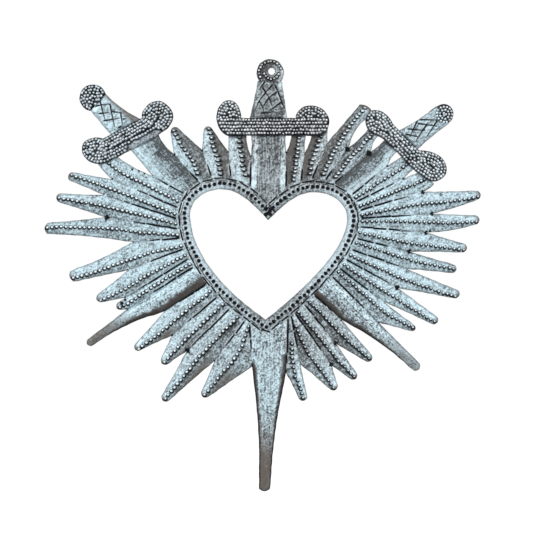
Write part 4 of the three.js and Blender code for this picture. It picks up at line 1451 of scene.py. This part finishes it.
def steel(name, light, dark, streak=0.4, level=0.6, dull=0.0, sandy=3.2):
    """Old drum steel: mottled, brushed along its grain, black with soot and painted shade in its hollows,
    brown on its worn edges and in some painted shade, and with painted highlights on its beads.

    streak is how strongly it is brushed, level its middle tone, dull how much metal it has lost and sandy
    how strong its fine mottle is.
    """
    paint = Paint(bpy.data.materials.new(name))
    place = paint.value("ShaderNodeTexCoord", output=3)
    turn = {"Vector": place, "Angle": HATCH_ANGLE}
    slant = paint.value("ShaderNodeVectorRotate", {"rotation_type": "Y_AXIS"}, turn)
    sand = paint.noise(place, *SAND)
    blotch = paint.noise(place, *BLOTCH)
    cloud = paint.noise(place, *CLOUD)
    hatch = paint.noise(paint.scaled(slant, HATCH_STRETCH), *HATCH)
    brushed = paint.noise(paint.scaled(paint.mark("grain", output=1), BRUSH_STRETCH), *BRUSH)
    grey_dimming = paint.mark("grey_dimming")
    tone = level + sandy * (sand - 0.5)
    tone = tone + TONE["blotch"] * (blotch - 0.5)
    tone = tone + TONE["cloud"] * (cloud - 0.5)
    tone = tone + TONE["hatch"] * (hatch - 0.5)
    tone = tone + streak * TONE["streak"] * (brushed - 0.5)
    tone = tone + TONE["shade"] * (paint.mark("shade") - 0.5)
    tone = tone - TONE["grey_dimming"] * grey_dimming
    base = paint.mixed(paint.clamped(tone), dark, light)
    base = paint.mixed(grey_dimming, base, paint.mixed(1, base, NEUTRAL, blend="MULTIPLY"))
    pits = paint.between(paint.noise(place, *PITS), *PIT_EDGES) * PIT_DEPTH
    base = paint.mixed(pits, base, NEAR_BLACK)
    brown_mottle = BROWNING["sand"] * sand + BROWNING["blotch"] * blotch - BROWNING["clean"]
    brown_and_shade = paint.clamped(paint.mark("brown_and_shade") * brown_mottle)
    base = paint.mixed(brown_and_shade, base, BROWN)
    # painted highlight: the gleam mark whitens bead crowns and the lips beside strokes and dots
    least, more = GLEAM_AND_SAND
    gleam = paint.clamped(paint.mark("gleam") * (least + more * sand))
    base = paint.mixed(gleam, base, PAINTED_HIGHLIGHT)
    metallic = paint.clamped(METALLIC["steel"] - METALLIC["brown_and_shade"] * brown_and_shade - dull * METALLIC["dull"])
    rough = ROUGHNESS["steel"] + ROUGHNESS["sand"] * sand + ROUGHNESS["brown_and_shade"] * brown_and_shade
    roughness = paint.clamped(rough + dull * ROUGHNESS["dull"] - ROUGHNESS["gleam"] * gleam)
    surface = sand * BUMP["sand"] + brushed * streak * BUMP["streak"] + hatch * BUMP["hatch"]
    strength, depth = BUMP_FORM
    relief_inputs = {"Strength": strength, "Distance": depth, "Height": surface}
    bump = paint.value("ShaderNodeBump", None, relief_inputs)
    inputs = {"Base Color": base, "Metallic": metallic, "Roughness": roughness, "Normal": bump}
    metal = paint.value("ShaderNodeBsdfPrincipled", None, inputs)
    # near black for soot and painted shade: strokes, over-cuts, shadow sides of beads, beside guards, point
    # bevels
    black = paint.value("ShaderNodeBsdfPrincipled", None, {
        "Base Color": NEAR_BLACK, "Metallic": 0.0, "Roughness": 1.0, "Specular IOR Level": 0.0,
    })
    least, more = SHADE_AND_SOOT_SAND
    shade_and_soot = paint.clamped(paint.mark("shade_and_soot") * (least + more * sand))
    both = paint.value("ShaderNodeMixShader", None, {0: shade_and_soot, 1: metal, 2: black})
    paint.node("ShaderNodeOutputMaterial", None, {"Surface": both})
    return paint.holder


def make_materials():
    """The finish of each slot of the record, and of the back of the sheet."""
    blue, low_blue = (0.57, 0.73, 0.8, 1), (0.06, 0.07, 0.075, 1)
    grey, low_grey = (0.5, 0.58, 0.63, 1), (0.05, 0.055, 0.058, 1)
    pale = (0.54, 0.67, 0.73, 1)
    return {
        "rim_steel": steel("rim_steel", pale, low_grey, streak=0.15, level=0.54),
        "ray_steel": steel("ray_steel", blue, low_blue, streak=0.25),
        "blade_steel": steel("blade_steel", blue, low_blue, streak=0.8, sandy=2.3),
        "point_steel": steel("point_steel", blue, low_blue, streak=0.9, sandy=3.8),
        "beaded_steel": steel("beaded_steel", grey, low_grey, streak=0.0, level=0.57),
        "grip_steel": steel("grip_steel", blue, low_blue, streak=0.5),
        "back": steel("sheet_back", (0.3, 0.3, 0.29, 1), (0.1, 0.1, 0.095, 1), streak=0.2, dull=0.6),
    }


# The object

SLOTS = {row["node"]: row["material_slot"] for row in frame["record"]["subparts"]}
materials = make_materials()
for node in NODES:
    piece = make_piece(node, (materials[SLOTS[node]], materials["back"]))


# Stage, in metres: a pale floor under the hanging ornament, white all round, two side windows of light

CAMERA_DISTANCE = 1.0
FRAME_WIDTH = 0.3198  # of the picture, at the sheet
SENSOR = 36.0
VIEW_CENTRE = Vector((-0.003, 0, -0.117))
FLOOR_DROP = 0.07  # below the lowest point
FLOOR_REACH = 3.0
FLOOR_GLOW = 0.75
WORLD_LIGHT = 0.4
LAMPS = (  # place, size, power and colour
    ("left_window", (-0.85, -0.55, 0.25), 0.6, 4.5, (0.92, 0.97, 1.0)),
    ("right_window", (0.85, -0.55, 0.2), 0.6, 4, (0.92, 0.97, 1.0)),
    ("top_light", (0.0, -0.5, 0.8), 0.5, 2, (1.0, 1.0, 1.0)),
)


def make_floor():
    low, _ = cad_box
    sides = ((-1, -1), (1, -1), (1, 1), (-1, 1))
    corners = [(x * FLOOR_REACH, y * FLOOR_REACH, low.z - FLOOR_DROP) for x, y in sides]
    mesh = bpy.data.meshes.new("floor")
    mesh.from_pydata(corners, [], [(0, 1, 2, 3)])
    floor = bpy.data.objects.new("floor", mesh)
    bpy.context.scene.collection.objects.link(floor)
    paint = Paint(bpy.data.materials.new("floor_white"))
    matt = paint.value("ShaderNodeBsdfDiffuse", None, {"Color": (0.8, 0.8, 0.8, 1)})
    glow = paint.value("ShaderNodeEmission", None, {"Strength": paint.seen() * FLOOR_GLOW})
    both = paint.value("ShaderNodeAddShader", None, {0: matt, 1: glow})
    paint.node("ShaderNodeOutputMaterial", None, {"Surface": both})
    mesh.materials.append(paint.holder)


def make_world():
    """White where it is seen, and a softer even light on the object."""
    world = bpy.data.worlds.new("studio")
    bpy.context.scene.world = world
    paint = Paint(world)
    strength = WORLD_LIGHT + (1 - WORLD_LIGHT) * paint.seen()
    white = paint.value("ShaderNodeBackground", None, {"Color": (1, 1, 1, 1), "Strength": strength})
    paint.node("ShaderNodeOutputWorld", None, {"Surface": white})


def make_lamp(name, place, size, power, colour):
    data = bpy.data.lights.new(name, "AREA")
    data.size = size
    data.energy = power
    data.color = colour
    lamp = bpy.data.objects.new(name, data)
    lamp.location = place
    lamp.rotation_euler = (VIEW_CENTRE - Vector(place)).to_track_quat("-Z", "Y").to_euler()
    lamp.visible_camera = False
    bpy.context.scene.collection.objects.link(lamp)


def make_camera():
    data = bpy.data.cameras.new("camera")
    data.sensor_width = SENSOR
    data.lens = SENSOR * CAMERA_DISTANCE / FRAME_WIDTH
    camera = bpy.data.objects.new("camera", data)
    camera.location = VIEW_CENTRE + Vector((0, -CAMERA_DISTANCE, 0))
    camera.rotation_euler = (math.radians(90), 0, 0)
    bpy.context.scene.collection.objects.link(camera)
    bpy.context.scene.camera = camera


make_floor()
make_world()
for lamp in LAMPS:
    make_lamp(*lamp)
make_camera()
bpy.context.scene.view_settings.view_transform = "Standard"
